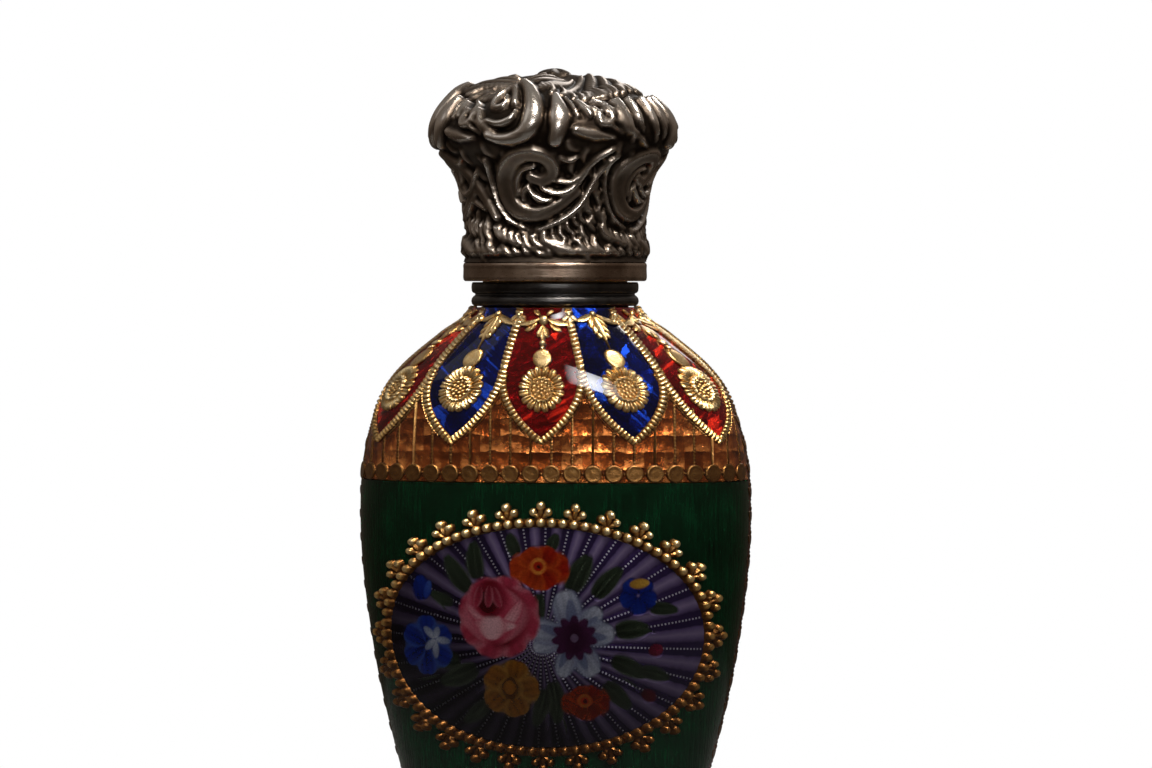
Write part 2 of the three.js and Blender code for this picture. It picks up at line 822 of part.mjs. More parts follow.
function capBand() {
  return turned([
    [capBore - turnedFit, capBottom],
    [capBandRadius - 0.2, capBottom],
    [capBandRadius, capBottom + 0.2],
    [capBandRadius, capShellBottom],
    [capBore - turnedFit, capShellBottom],
  ], 30);
}

function capLiner() {
  const inner = neckTubeRadius + linerFit;
  const outer = inner + linerWall;
  const bottom = capBottom + 0.1;
  const top = bottom + linerHeight;
  return turned([
    [inner, bottom],
    [outer, bottom],
    [outer, top - 0.6],
    [capBore - turnedFit, top - 0.6],
    [capBore - turnedFit, top],
    [inner, top],
  ], 28);
}

// Assembly
const bottle = new THREE.Group();

function add(name, geometry, finish, turnedBack = false) {
  const mesh = new THREE.Mesh(geometry, new THREE.MeshStandardMaterial(finish));
  mesh.name = name;
  if (turnedBack) mesh.rotation.z = Math.PI;
  bottle.add(mesh);
}

const gilding = { color: 0xc8963c, roughness: 0.3, metalness: 1 };
const giltMetal = { color: 0xa8823c, roughness: 0.35, metalness: 1 };
const darkMetal = { color: 0x24211f, roughness: 0.4, metalness: 0.8 };
const silver = { color: 0x8a8172, roughness: 0.35, metalness: 1 };
const redEnamel = { color: 0x7d0a12, roughness: 0.15, metalness: 0.1 };
const blueEnamel = { color: 0x0c1f7a, roughness: 0.15, metalness: 0.1 };
const copperEnamel = { color: 0xa9541c, roughness: 0.2, metalness: 0.3 };
const greenEnamel = { color: 0x06301c, roughness: 0.15, metalness: 0.1 };
const violetEnamel = { color: 0x3a2a63, roughness: 0.15, metalness: 0.1 };
const maroonEnamel = { color: 0x3a0d10, roughness: 0.15, metalness: 0.1 };
const glass = { color: 0xdfe8e6, roughness: 0.1, metalness: 0 };

for (const face of ['front', 'back']) {
  const back = face === 'back';
  add(`${face}_shell`, shell(), giltMetal, back);
  add(`copper_ground_${face}`, copperGround(), copperEnamel, back);
  add(`green_ground_${face}`, greenGround(), greenEnamel, back);
  add(`medallion_${face}`, medallion(), violetEnamel, back);
  add(`medallion_border_${face}`, medallionBorder(), gilding, back);
  add(`lappet_borders_${face}`, lappetBorders(), gilding, back);
  add(`disc_row_${face}`, discRow(), gilding, back);
  for (let index = 0; index < lappetCount; index++) {
    const finish = index % 2 === 0 ? redEnamel : blueEnamel;
    const colour = index % 2 === 0 ? 'red' : 'blue';
    add(`lappet_${colour}_${face}_${index + 1}`, lappet(index), finish, back);
    add(`pendant_${face}_${index + 1}`, pendant(index), gilding, back);
  }
}
for (const side of ['right', 'left']) {
  add(`side_stripe_${side}`, sideStripe(), maroonEnamel, side === 'left');
  add(`side_spray_${side}`, sideSpray(), gilding, side === 'left');
}
add('base_plate', basePlate(), giltMetal);
add('foot_ring', footRing(), darkMetal);
add('neck_tube', neckTube(), giltMetal);
add('neck_mouth', neckMouth(), giltMetal);
add('neck_collar', neckCollar(), darkMetal);
add('stopper', stopper(), glass);
add('cap_shell', capShell(), silver);
add('cap_band', capBand(), silver);
add('cap_liner', capLiner(), giltMetal);

export default bottle;
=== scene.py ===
import math

import bmesh
import bpy
import numpy as np
from mathutils import Matrix, Vector


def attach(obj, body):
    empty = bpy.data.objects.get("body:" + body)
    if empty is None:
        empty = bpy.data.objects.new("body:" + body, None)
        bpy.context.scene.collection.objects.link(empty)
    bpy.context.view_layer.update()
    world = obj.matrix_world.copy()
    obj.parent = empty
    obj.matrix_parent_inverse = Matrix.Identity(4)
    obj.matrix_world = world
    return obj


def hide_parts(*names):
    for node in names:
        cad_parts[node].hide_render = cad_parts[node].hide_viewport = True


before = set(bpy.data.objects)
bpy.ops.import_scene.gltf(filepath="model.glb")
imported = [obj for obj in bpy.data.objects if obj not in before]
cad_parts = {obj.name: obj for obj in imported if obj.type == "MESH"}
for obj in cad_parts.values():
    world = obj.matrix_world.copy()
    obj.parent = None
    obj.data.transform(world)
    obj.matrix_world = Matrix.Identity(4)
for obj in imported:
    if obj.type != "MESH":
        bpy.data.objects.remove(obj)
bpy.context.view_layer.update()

# Studio: a long lens a little above the neck, a pale floor that keeps the shadow, and soft lamps.
# The camera and the glass see a white surround, and polished surfaces mirror a dim, warm room.
world = bpy.data.worlds.new("studio")
bpy.context.scene.world = world
world.use_nodes = True


def fill(node, inputs):
    """Sets a node's inputs, or links those that come from another node."""
    for name, value in inputs.items():
        if isinstance(value, bpy.types.NodeSocket):
            node.id_data.links.new(value, node.inputs[name])
        else:
            node.inputs[name].default_value = value


def add_node(tree, kind, inputs=None, **settings):
    node = tree.nodes.new("ShaderNode" + kind)
    for name, value in settings.items():
        setattr(node, name, value)
    fill(node, inputs or {})
    return node


def maths(operation, *values, clamp=False):
    """One sum in a shader. At least one of its values comes from another node."""
    tree = next(value.id_data for value in values if isinstance(value, bpy.types.NodeSocket))
    return add_node(tree, "Math", dict(enumerate(values)), operation=operation, use_clamp=clamp).outputs[0]


def vector_maths(operation, *values):
    node = add_node(values[0].id_data, "VectorMath", dict(enumerate(values)), operation=operation)
    return node.outputs["Value" if operation in ("LENGTH", "DOT_PRODUCT") else "Vector"]


def part_of(place, axis):
    return add_node(place.id_data, "SeparateXYZ", {0: place}).outputs[axis]


def scaled(place, scale):
    return add_node(place.id_data, "Mapping", {"Vector": place, "Scale": scale}).outputs[0]


def noise(place, scale, detail, roughness=0.5):
    return add_node(place.id_data, "TexNoise", {
        "Vector": place, "Scale": scale, "Detail": detail, "Roughness": roughness}).outputs[0]


def ranged(value, start, end, low, high, **settings):
    """Carries a value between start and end over to between low and high."""
    return add_node(value.id_data, "MapRange", {
        "Value": value, "From Min": start, "From Max": end, "To Min": low, "To Max": high},
        **settings).outputs[0]


def ramp(factor, stops):
    """A colour ramp with stops given as (position, colour)."""
    node = add_node(factor.id_data, "ValToRGB", {0: factor})
    elements = node.color_ramp.elements
    while len(elements) < len(stops):
        elements.new(0.5)
    for element, (position, colour) in zip(elements, stops):
        element.position = position
        element.color = (*colour, 1)
    return node.outputs[0]


def blended(share, first, second):
    return add_node(share.id_data, "MixShader", {0: share, 1: first, 2: second}).outputs[0]


def new_finish(name, values):
    """A material, its node tree and its shader, with values on the shader's own sockets."""
    finish = bpy.data.materials.new(name)
    finish.use_nodes = True
    shader = finish.node_tree.nodes["Principled BSDF"]
    fill(shader, values)
    return finish, finish.node_tree, shader


sky = world.node_tree
sky.nodes.clear()
rays = add_node(sky, "LightPath").outputs
direction = add_node(sky, "TexCoord").outputs["Generated"]
room = ramp(maths("MULTIPLY_ADD", part_of(direction, "Z"), 0.5, 0.5), [
    (0.0, (0.014, 0.011, 0.008)), (0.45, (0.045, 0.033, 0.024)), (0.62, (0.14, 0.115, 0.095)),
    (1.0, (0.2, 0.19, 0.18))])
soft_light, mirrored, white = [
    add_node(sky, "Background", {"Color": colour, "Strength": strength}).outputs[0]
    for colour, strength in (((1, 0.985, 0.96, 1), 0.17), (room, 1.0), ((1, 1, 1, 1), 1.0))]
polished = blended(rays["Is Glossy Ray"], soft_light, mirrored)
through_glass = blended(rays["Is Transmission Ray"], polished, white)
add_node(sky, "OutputWorld", {0: blended(rays["Is Camera Ray"], through_glass, white)})


def way_out(azimuth, elevation):
    """The way from the bottle to a camera or lamp, in degrees. Azimuth 0 is in front."""
    a, e = math.radians(azimuth), math.radians(elevation)
    return Vector((math.sin(a) * math.cos(e), -math.cos(a) * math.cos(e), math.sin(e)))


def set_up(name, data, target, away, distance):
    """Stands a camera or lamp at a distance from its target and turns it to face it."""
    thing = bpy.data.objects.new(name, data)
    bpy.context.scene.collection.objects.link(thing)
    thing.location = target + away * distance
    thing.rotation_euler = away.to_track_quat("Z", "Y").to_euler()
    return thing


SENSOR_WIDTH, FRAME_WIDTH = 36, 0.121
CAMERA_AZIMUTH, CAMERA_ELEVATION, CAMERA_DISTANCE = 7.5, 1.4, 0.48
bpy.context.scene.view_settings.view_transform = "Standard"
lens = bpy.data.cameras.new("camera")
lens.lens = SENSOR_WIDTH * CAMERA_DISTANCE / FRAME_WIDTH
lens.clip_start = 0.01
frame_centre = way_out(CAMERA_AZIMUTH + 90, 0) * 0.0022 + Vector((0, 0, 0.0631))
bpy.context.scene.camera = set_up("camera", lens, frame_centre,
                                  way_out(CAMERA_AZIMUTH, CAMERA_ELEVATION), CAMERA_DISTANCE)

# The lamps are oblong and face the shoulder. Each has azimuth, elevation, distance, width, height,
# power, spread and tint.
SHOULDER = Vector((0, 0, 0.072))
for name, azimuth, elevation, distance, width, height, power, spread, tint in (
        ("window", 10, 18, 0.66, 0.25, 0.09, 0.021, 20, (0.97, 0.98, 1)),
        ("key", 22, 58, 0.6, 0.2, 0.2, 0.125, 22, (1, 0.97, 0.92)),
        ("fill", -60, 42, 0.7, 0.34, 0.34, 0.14, 180, (0.95, 0.97, 1)),
        ("back", 170, 35, 0.7, 0.3, 0.2, 0.7, 180, (1, 1, 1))):
    lamp = bpy.data.lights.new(name, "AREA")
    lamp.shape = "RECTANGLE"
    lamp.size, lamp.size_y = width, height
    lamp.energy = power
    lamp.spread = math.radians(spread)
    lamp.color = tint
    set_up(name, lamp, SHOULDER, way_out(azimuth, elevation), distance)

floor_mesh = bpy.data.meshes.new("floor")
bm = bmesh.new()
bmesh.ops.create_circle(bm, cap_ends=True, segments=96, radius=0.2)
bm.to_mesh(floor_mesh)
bm.free()
floor = bpy.data.objects.new("floor", floor_mesh)
bpy.context.scene.collection.objects.link(floor)
finish, tree, shader = new_finish("pale floor", {"Roughness": 0.8, "Emission Color": (1, 1, 1, 1)})
floor_mesh.materials.append(finish)
place = add_node(tree, "TexCoord").outputs["Object"]
rays = add_node(tree, "LightPath").outputs
fill(shader, {
    "Base Color": ramp(noise(place, 60.0, 3.0), [(0, (0.86, 0.86, 0.85)), (1, (0.94, 0.94, 0.93))]),
    "Emission Strength": maths("MULTIPLY", rays["Is Camera Ray"], 0.45)})
fade = ranged(vector_maths("LENGTH", place), 0.06, 0.17, 0.0, 1.0, interpolation_type="SMOOTHSTEP")
unseen = maths("MAXIMUM", fade, maths("MULTIPLY", rays["Is Glossy Ray"], 0.85))
clear = add_node(tree, "BsdfTransparent").outputs[0]
fill(tree.nodes["Material Output"], {0: blended(unseen, shader.outputs[0], clear)})

# Flask shells: two halves of raised metal, soldered at the narrow sides and gilt inside and out.
# Only their edges show, in the joints of the enamel and under the collar.
FOOT_HEIGHT, WIDEST_HEIGHT, NECK_HEIGHT = 2.6, 49.2, 71.3
HALF_WIDTH, HALF_DEPTH = 20.6, 10.75
FOOT_HALF_WIDTH, FOOT_HALF_DEPTH, NECK_RADIUS = 9.2, 6.2, 8.6
swell_heights = np.array([FOOT_HEIGHT, 13.085, 22.871, 34.521, WIDEST_HEIGHT, 58.04, 63.8965, 68.427, 69.974,
                          NECK_HEIGHT])
swell_shares = np.array([0, 0.375, 0.63, 0.865, 1, 0.925, 0.69, 0.26, 0.075, 0])


def swell_at(height):
    """1 at the widest height, 0 at the neck and the foot, on a smooth curve between."""
    height = np.clip(height, FOOT_HEIGHT, NECK_HEIGHT)
    secants = np.diff(swell_shares) / np.diff(swell_heights)
    slopes = np.r_[secants[0], (secants[1:] + secants[:-1]) / 2, secants[-1]]
    after = np.clip(np.searchsorted(swell_heights, height, side="right"), 1, len(secants))
    before = after - 1
    span = swell_heights[after] - swell_heights[before]
    t = (height - swell_heights[before]) / span
    start, end = swell_shares[before], swell_shares[after]
    return (start * (1 + 2 * t) * (1 - t) ** 2 + end * t ** 2 * (3 - 2 * t)
            + slopes[before] * span * t * (1 - t) ** 2 - slopes[after] * span * t ** 2 * (1 - t))


def half_sizes(height):
    """Half the width and half the depth of the flask at a height."""
    swell = swell_at(height)
    wide = np.where(height > WIDEST_HEIGHT, NECK_RADIUS, FOOT_HALF_WIDTH)
    deep = np.where(height > WIDEST_HEIGHT, NECK_RADIUS, FOOT_HALF_DEPTH)
    return wide + (HALF_WIDTH - wide) * swell, deep + (HALF_DEPTH - deep) * swell


def section_power(height):
    """2 gives an oval section, and a little more a fuller one."""
    return 2 + 0.25 * swell_at(height)


def section_point(angle, height, lift):
    """Point of the flask at an angle from the front centre, raised by lift from the enamel's face."""
    step = 0.2
    above, below = half_sizes(height + step), half_sizes(height - step)
    wide, deep = [half + lift * np.hypot(1, (up - down) / (2 * step))
                  for half, up, down in zip(half_sizes(height), above, below)]
    power = section_power(height)
    sine, cosine = np.sin(angle), np.cos(angle)
    reach = (np.abs(sine / wide) ** power + np.abs(cosine / deep) ** power) ** (-1 / power)
    return np.stack([reach * sine, -reach * cosine, height + 0 * reach], axis=-1)


table_heights = np.linspace(FOOT_HEIGHT, NECK_HEIGHT, 276)
table_shares = np.linspace(0, 1, 65)
fine_angles = np.linspace(0, math.pi / 2, 241)
section = section_point(fine_angles[None, :], table_heights[:, None], 0.0)
lengths = np.cumsum(np.linalg.norm(np.diff(section, axis=1), axis=2), axis=1)
lengths = np.concatenate([np.zeros((len(table_heights), 1)), lengths], axis=1)
quarter_table = lengths[:, -1]
angle_table = np.array([np.interp(table_shares * row[-1], row, fine_angles) for row in lengths])


def quarter_arc(height):
    """Length round the section from the front centre to the narrow side."""
    return np.interp(height, table_heights, quarter_table)


def angle_at(share, height):
    """Share 0 is the front centre, 1 the right narrow side and -1 the left one."""
    folded = np.abs(share)
    behind = folded > 1
    folded = np.where(behind, 2 - folded, folded)
    row = (np.clip(height, FOOT_HEIGHT, NECK_HEIGHT) - FOOT_HEIGHT) / (table_heights[1] - FOOT_HEIGHT)
    column = folded * (len(table_shares) - 1)
    r = np.clip(row.astype(int), 0, len(table_heights) - 2)
    c = np.clip(column.astype(int), 0, len(table_shares) - 2)
    up, on = row - r, column - c
    angle = ((angle_table[r, c] * (1 - on) + angle_table[r, c + 1] * on) * (1 - up)
             + (angle_table[r + 1, c] * (1 - on) + angle_table[r + 1, c + 1] * on) * up)
    return np.sign(share) * np.where(behind, math.pi - angle, angle)


def places(bm):
    return np.array([vert.co for vert in bm.verts])


def set_places(bm, points):
    for vert, point in zip(bm.verts, points):
        vert.co = point


def new_grid(columns, rows):
    """A flat grid that runs from -1 to 1 both ways, and the places of its points."""
    bm = bmesh.new()
    bmesh.ops.create_grid(bm, x_segments=columns, y_segments=rows, size=1)
    return bm, places(bm)


def lay_on_flask(bm, height=0.0, home=0.0, lift=0.0):
    """Wraps flat work on the flask. It is drawn in mm, x right, y up and z out. Home is the share
    of its centre line, or gives it at each height. The flat place stays in the attribute lay."""
    kept = bm.verts.layers.float_vector.get("lay") or bm.verts.layers.float_vector.new("lay")
    flat = places(bm)
    level = height + flat[:, 1]
    share = (home(level) if callable(home) else home) + flat[:, 0] / quarter_arc(level)
    points = section_point(angle_at(share, level), level, flat[:, 2] + lift)
    arcs = share * quarter_arc(level)
    for vert, point, across, up, out in zip(bm.verts, points, arcs, level, flat[:, 2]):
        vert[kept] = (across, up, out)
        vert.co = point


def gauge_glaze(mesh):
    """Stores the smooth glaze's normal over raised work, from the flask's own form."""
    points = np.array([vert.co for vert in mesh.vertices])

    def fullness(p):
        wide, deep = half_sizes(p[:, 2])
        power = section_power(p[:, 2])
        return np.abs(p[:, 0] / wide) ** power + np.abs(p[:, 1] / deep) ** power

    slopes = [fullness(points + 0.05 * axis) - fullness(points - 0.05 * axis) for axis in np.eye(3)]
    normals = np.stack(slopes, axis=1)
    normals /= np.linalg.norm(normals, axis=1)[:, None]
    mesh.attributes.new("glaze", "FLOAT_VECTOR", "POINT").data.foreach_set(
        "vector", normals.astype(np.float32).ravel())


def finished_piece(name, bm, finish, slot, replaced=(), body="flask", turn=0.0, crease=40, glazed=False):
    """Turns a bmesh in mm into a piece in metres that rides on a body."""
    if turn:
        bmesh.ops.rotate(bm, verts=bm.verts, cent=(0, 0, 0), matrix=Matrix.Rotation(turn, 3, "Z"))
    mesh = bpy.data.meshes.new(name)
    bm.to_mesh(mesh)
    bm.free()
    if glazed:
        gauge_glaze(mesh)
    mesh.transform(Matrix.Scale(0.001, 4))
    mesh.materials.append(finish)
    mesh.shade_smooth()
    mesh.set_sharp_from_angle(angle=math.radians(crease))
    made = bpy.data.objects.new(name, mesh)
    bpy.context.scene.collection.objects.link(made)
    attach(made, body)
    if replaced:
        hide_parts(*replaced)


def twin_pieces(name, bm, finish, slot, replaced, where, **more):
    """The same piece on both faces or both sides. The place's name goes into the braces."""
    for place_name, turn in where:
        finished_piece(name.format(place_name), bm.copy(), finish, slot, [replaced.format(place_name)],
                       turn=turn, **more)
    bm.free()


def add_relief(shader, height, strength=1.0, distance=0.001):
    """Bump from a height, which is in mm at a distance of 0.001."""
    bump = add_node(shader.id_data, "Bump", {"Strength": strength, "Distance": distance, "Height": height})
    fill(shader, {"Normal": bump.outputs[0]})


def worn_metal(name, dull, bright, roughness, scale, specular=0.5):
    """Metal with cloudy tarnish and fine handling scratches."""
    finish, tree, shader = new_finish(name, {"Metallic": 1.0, "Specular IOR Level": specular})
    place = add_node(tree, "TexCoord").outputs["Object"]
    scratches = noise(scaled(place, (1, 1, 6)), scale * 9, 4.0, 0.7)
    fill(shader, {
        "Base Color": ramp(noise(place, scale, 5.0), [(0.35, dull), (0.62, bright)]),
        "Roughness": ranged(scratches, 0.3, 0.7, roughness * 0.8, roughness * 1.3)})
    add_relief(shader, scratches, 0.25, 0.00004)
    return finish


gilt_metal = worn_metal("gilt metal", (0.36, 0.22, 0.07), (0.62, 0.43, 0.17), 0.3, 260)
for node_name in ("front_shell", "back_shell"):
    shell_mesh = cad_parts[node_name].data
    shell_mesh.materials.clear()
    shell_mesh.materials.append(gilt_metal)

# Enamel lappets: five on each face, red and blue in turn, of clear enamel fired over crumpled
# foil and ground flush. Each is drawn in to a point, and its edge drops into the joint.
FACES = (("front", 0.0), ("back", math.pi))
SIDES = (("right", 0.0), ("left", math.pi))
LAPPET_COUNT = 5
LAPPET_TOP, LAPPET_SPLIT, LAPPET_TIP, LAPPET_CURVE = 71.15, 65.5, 57.4, 2.2
SIDE_STRIPE_WIDTH, FIELD_JOINT, BORDER_WIDTH, ENAMEL_THICKNESS = 2.0, 0.12, 0.8, 0.35


def face_share(side, height):
    """Side runs from -1 to 1 across one broad face, between the narrow stripes."""
    return side * (1 - (SIDE_STRIPE_WIDTH / 2 + FIELD_JOINT) / quarter_arc(height))


def lappet_side(index, part=0.0):
    return (2 * index + 1 + part) / LAPPET_COUNT - 1


def edge_part(level):
    """How far out a lappet's edge is, from 0 at its point to 1 where the lappets part."""
    return 1 - (1 - np.clip(level, 0, 1)) ** LAPPET_CURVE


def edge_level(part):
    return 1 - (1 - np.abs(part)) ** (1 / LAPPET_CURVE)


def level_height(level):
    """Height between the lappets' points at level 0 and where they part at level 1."""
    return LAPPET_TIP + (LAPPET_SPLIT - LAPPET_TIP) * level


def draw_flat(bm, share, height):
    set_places(bm, np.stack([share * quarter_arc(height), height, 0 * height], axis=1))


def open_rim(verts):
    return list(dict.fromkeys(edge for vert in verts for edge in vert.link_edges if edge.is_boundary))


def extruded(bm, edges):
    """Draws a wall out of open edges, and gives its new vertices and new edges."""
    grown = bmesh.ops.extrude_edge_only(bm, edges=edges)["geom"]
    return [[part for part in grown if isinstance(part, kind)]
            for kind in (bmesh.types.BMVert, bmesh.types.BMEdge)]


def drop_rim(bm, verts, depth):
    """Turns the open rim of a flat face straight in, to a depth."""
    for vert in extruded(bm, open_rim(verts))[0]:
        vert.co.z = depth


def laid_field(name, columns, rows, place, finish, slot, replaced, where=FACES):
    """A field of enamel. Place gives share and height from two grids that run from -1 to 1."""
    bm, grid = new_grid(columns, rows)
    draw_flat(bm, *place(grid[:, 0], grid[:, 1]))
    drop_rim(bm, bm.verts, -ENAMEL_THICKNESS)
    bmesh.ops.holes_fill(bm, edges=open_rim(bm.verts))
    lay_on_flask(bm)
    bmesh.ops.recalc_face_normals(bm, faces=bm.faces)
    twin_pieces(name, bm, finish, slot, replaced, where)


def enamel_finish(name, metallic, roughness, coat_roughness=0.025):
    """Clear enamel: the ground's own colour and lustre under a smooth glaze."""
    return new_finish(name, {
        "Metallic": metallic, "Roughness": roughness, "Specular IOR Level": 0.0, "Coat Weight": 0.75,
        "Coat Roughness": coat_roughness, "Coat IOR": 1.55})


def stored(tree, name, output="Vector"):
    """What the points of a piece carry under a name."""
    return add_node(tree, "Attribute", attribute_name=name).outputs[output]


def crumpled_height(place, size, stretch, tilt, fold):
    """Height in mm of crumpled foil, with facets that each tilt their own way and soft folds, and
    a tint for each facet."""
    tree = place.id_data
    warp = add_node(tree, "TexNoise", {"Vector": place, "Scale": 0.9, "Detail": 2.0}).outputs["Color"]
    drawn = scaled(vector_maths("MULTIPLY_ADD", warp, (0.9, 0.9, 0.9), place), stretch)
    cells = add_node(tree, "TexVoronoi", {"Vector": drawn, "Scale": size}).outputs
    lean = vector_maths("SUBTRACT", cells["Color"], (0.5, 0.5, 0.5))
    facet = vector_maths("DOT_PRODUCT", lean, vector_maths("SUBTRACT", drawn, cells["Position"]))
    folds = maths("MULTIPLY", noise(place, 2.2, 4.0, 0.6), fold)
    return maths("MULTIPLY_ADD", facet, tilt, folds), cells["Color"]


def foiled_enamel(name, dark, middle, light, slant):
    """Clear enamel over crumpled foil: dark ground, with slanting streaks of painted highlight for the
    foil's glints.
    """
    finish, tree, shader = enamel_finish(name, 0.5, 0.22)
    place = stored(tree, "lay")
    height, tint = crumpled_height(place, 0.42, (1, 0.7, 1), 0.6, 0.16)
    slanted = add_node(tree, "Mapping", {"Vector": place, "Rotation": (0, 0, slant), "Scale": (4.2, 0.6, 1)},
                       vector_type="TEXTURE").outputs[0]
    # The streaks are painted highlight in the base colour, laid over each facet's own tint.
    lit = maths("MULTIPLY_ADD", add_node(tree, "SeparateColor", {0: tint}).outputs[0], 0.3,
                maths("MULTIPLY", noise(slanted, 0.95, 3.0), 0.85))
    fill(shader, {"Base Color": ramp(lit, [(0.42, dark), (0.64, middle), (0.74, light)])})
    add_relief(shader, height)
    return finish


# The third colour of each enamel is the painted highlight of its streaks.
lappet_enamels = {
    "red": foiled_enamel("red enamel", (0.05, 0.0006, 0.0008), (0.16, 0.0018, 0.0024),
                         (0.95, 0.03, 0.012), 0.5),
    "blue": foiled_enamel("blue enamel", (0.0007, 0.0013, 0.018), (0.001, 0.0035, 0.062),
                          (0.01, 0.06, 0.55), -0.7)}
SPLIT_ROW, POINT_GAP, LEAST_PART = 0.2, 0.45, 0.03

for index in range(LAPPET_COUNT):
    def lappet_place(across, up):
        foot = LAPPET_TIP + POINT_GAP
        level = np.clip((up + 1) / (1 + SPLIT_ROW), 0, 1)
        height = np.where(up < SPLIT_ROW, foot + (LAPPET_SPLIT - foot) * level,
                          LAPPET_SPLIT + (LAPPET_TOP - LAPPET_SPLIT) * (up - SPLIT_ROW) / (1 - SPLIT_ROW))
        inset = FIELD_JOINT * LAPPET_COUNT / quarter_arc(height)
        half = edge_part((height - LAPPET_TIP) / (LAPPET_SPLIT - LAPPET_TIP)) - inset
        return face_share(lappet_side(index, np.maximum(half, LEAST_PART) * across), height), height

    colour = "red" if index % 2 == 0 else "blue"
    laid_field(f"{colour}_lappet_{{}}_{index + 1}", 14, 40, lappet_place, lappet_enamels[colour],
               f"{colour}_enamel", f"lappet_{colour}_{{}}_{index + 1}")

# Copper ground: orange enamel over foil pressed in courses like brickwork, one field on each
# face between the lappets and the row of discs.
GROUND_SPLIT = 53.2
DISC_PITCH = 2.13
COURSE_HEIGHT = 1.72

copper_enamel, tree, shader = enamel_finish("copper enamel", 0.7, 0.17, 0.03)
place = stored(tree, "lay")
across = maths("DIVIDE", part_of(place, "X"), DISC_PITCH)
wandering = maths("MULTIPLY_ADD", noise(place, 0.5, 2.0), 0.9, part_of(place, "Y"))
course = maths("DIVIDE", wandering, COURSE_HEIGHT)
brick_across = maths("FRACT", across)
brick_up = maths("FRACT", course)
brick = add_node(tree, "CombineXYZ", {0: maths("FLOOR", across), 1: maths("FLOOR", course)}).outputs[0]
brick_tint = add_node(tree, "TexWhiteNoise", {"Vector": brick}, noise_dimensions="2D").outputs["Color"]
lean = add_node(tree, "SeparateColor", {0: brick_tint}).outputs


def cupped(part, depth):
    """Height of a row of shallow cups with a ridge between each two, from the part across one."""
    other = maths("SUBTRACT", 1.0, part)
    return maths("MULTIPLY", maths("MULTIPLY_ADD", part, part, maths("MULTIPLY", other, other)), depth)


crumple, _ = crumpled_height(place, 0.6, (0.7, 1, 1), 0.45, 0.11)
cups = maths("ADD", cupped(brick_up, 0.24), cupped(brick_across, 0.05))
tilted = maths("MULTIPLY", maths("SUBTRACT", lean[0], 0.5), maths("MULTIPLY", brick_up, 0.22))
add_relief(shader, maths("ADD", maths("ADD", cups, crumple), tilted))
# Each course is painted lighter towards its lower edge, a painted highlight where its cup faces the light
# from above, over random tone.
lower = maths("MULTIPLY_ADD", maths("SUBTRACT", 1.0, brick_up), 0.2,
              maths("MULTIPLY", noise(place, 1.3, 3.0), 0.7))
fill(shader, {"Base Color": ramp(maths("MULTIPLY_ADD", lean[2], 0.3, lower), [
    (0.3, (0.1, 0.019, 0.0035)), (0.62, (0.25, 0.055, 0.01)), (0.9, (0.8, 0.28, 0.07))])})


def copper_place(across, up):
    side = (across + 1) * LAPPET_COUNT / 2
    part = 2 * (side - np.floor(np.clip(side, 0, LAPPET_COUNT - 0.001))) - 1
    top = level_height(edge_level(np.clip(part, -1, 1))) - BORDER_WIDTH / 3
    bottom = GROUND_SPLIT + FIELD_JOINT / 2
    height = bottom + (top - bottom) * (up + 1) / 2
    return face_share(across, height), height


laid_field("copper_field_{}", 160, 20, copper_place, copper_enamel, "copper_enamel", "copper_ground_{}")

# Green ground: dark bottle-green enamel over upright engine turning, with an oval window for
# the medallion.
MEDALLION_HEIGHT, MEDALLION_HALF_ARC, MEDALLION_HALF_HEIGHT = 37.2, 17.2, 11.4
ENAMEL_FOOT = 2.75

green_enamel, tree, shader = enamel_finish("green enamel", 0.6, 0.3)
place = stored(tree, "lay")
grain = noise(scaled(place, (1, 0.06, 1)), 3.2, 4.0, 0.7)
depth = maths("MULTIPLY_ADD", grain, 0.7, maths("MULTIPLY", noise(place, 0.25, 3.0), 0.45))
fill(shader, {"Base Color": ramp(depth, [
    (0.4, (0.0006, 0.008, 0.003)), (0.64, (0.001, 0.026, 0.009)), (0.85, (0.002, 0.062, 0.021))])})
add_relief(shader, maths("MULTIPLY", grain, 0.12), 0.8)


def oval_place(turning, growth):
    """Places round the medallion's oval, grown by a distance in mm. Turning 0 is its right end."""
    height = MEDALLION_HEIGHT + (MEDALLION_HALF_HEIGHT + growth) * np.sin(turning)
    return (MEDALLION_HALF_ARC + growth) * np.cos(turning) / quarter_arc(height), height


bm, grid = new_grid(240, 28)
turns = 2 * (grid[:, 0] + 1)
out = (grid[:, 1] + 1) / 2
inner_share, inner_height = oval_place(turns * math.pi / 2, FIELD_JOINT)
side = np.clip(2 * np.abs(turns % 4 - 2) - 2, -1, 1)
rise = np.clip(2 * np.abs((turns + 3) % 4 - 2) - 2, -1, 1)
room_above = GROUND_SPLIT - FIELD_JOINT / 2 - MEDALLION_HEIGHT
room_below = MEDALLION_HEIGHT - ENAMEL_FOOT
outer_height = MEDALLION_HEIGHT + rise * np.where(rise > 0, room_above, room_below)
share = inner_share + (face_share(side, outer_height) - inner_share) * out
draw_flat(bm, share, inner_height + (outer_height - inner_height) * out)
bmesh.ops.remove_doubles(bm, verts=bm.verts, dist=1e-4)
drop_rim(bm, bm.verts, -ENAMEL_THICKNESS)
lay_on_flask(bm)
bmesh.ops.recalc_face_normals(bm, faces=bm.faces)
twin_pieces("green_field_{}", bm, green_enamel, "green_enamel", "green_ground_{}", FACES)

# Medallion: an oval of violet enamel over a stamped sunburst, flush in the green field, with a
# bouquet painted over it in opaque colours and glazed.
RAY_COUNT = 32
RAY_CENTRE_HEIGHT = 36.6
medallion, square = new_grid(300, 190)
oval_x = square[:, 0] * np.sqrt(1 - square[:, 1] ** 2 / 2) * MEDALLION_HALF_ARC
oval_y = square[:, 1] * np.sqrt(1 - square[:, 0] ** 2 / 2) * MEDALLION_HALF_HEIGHT
bouquet = np.zeros((len(oval_x), 4))


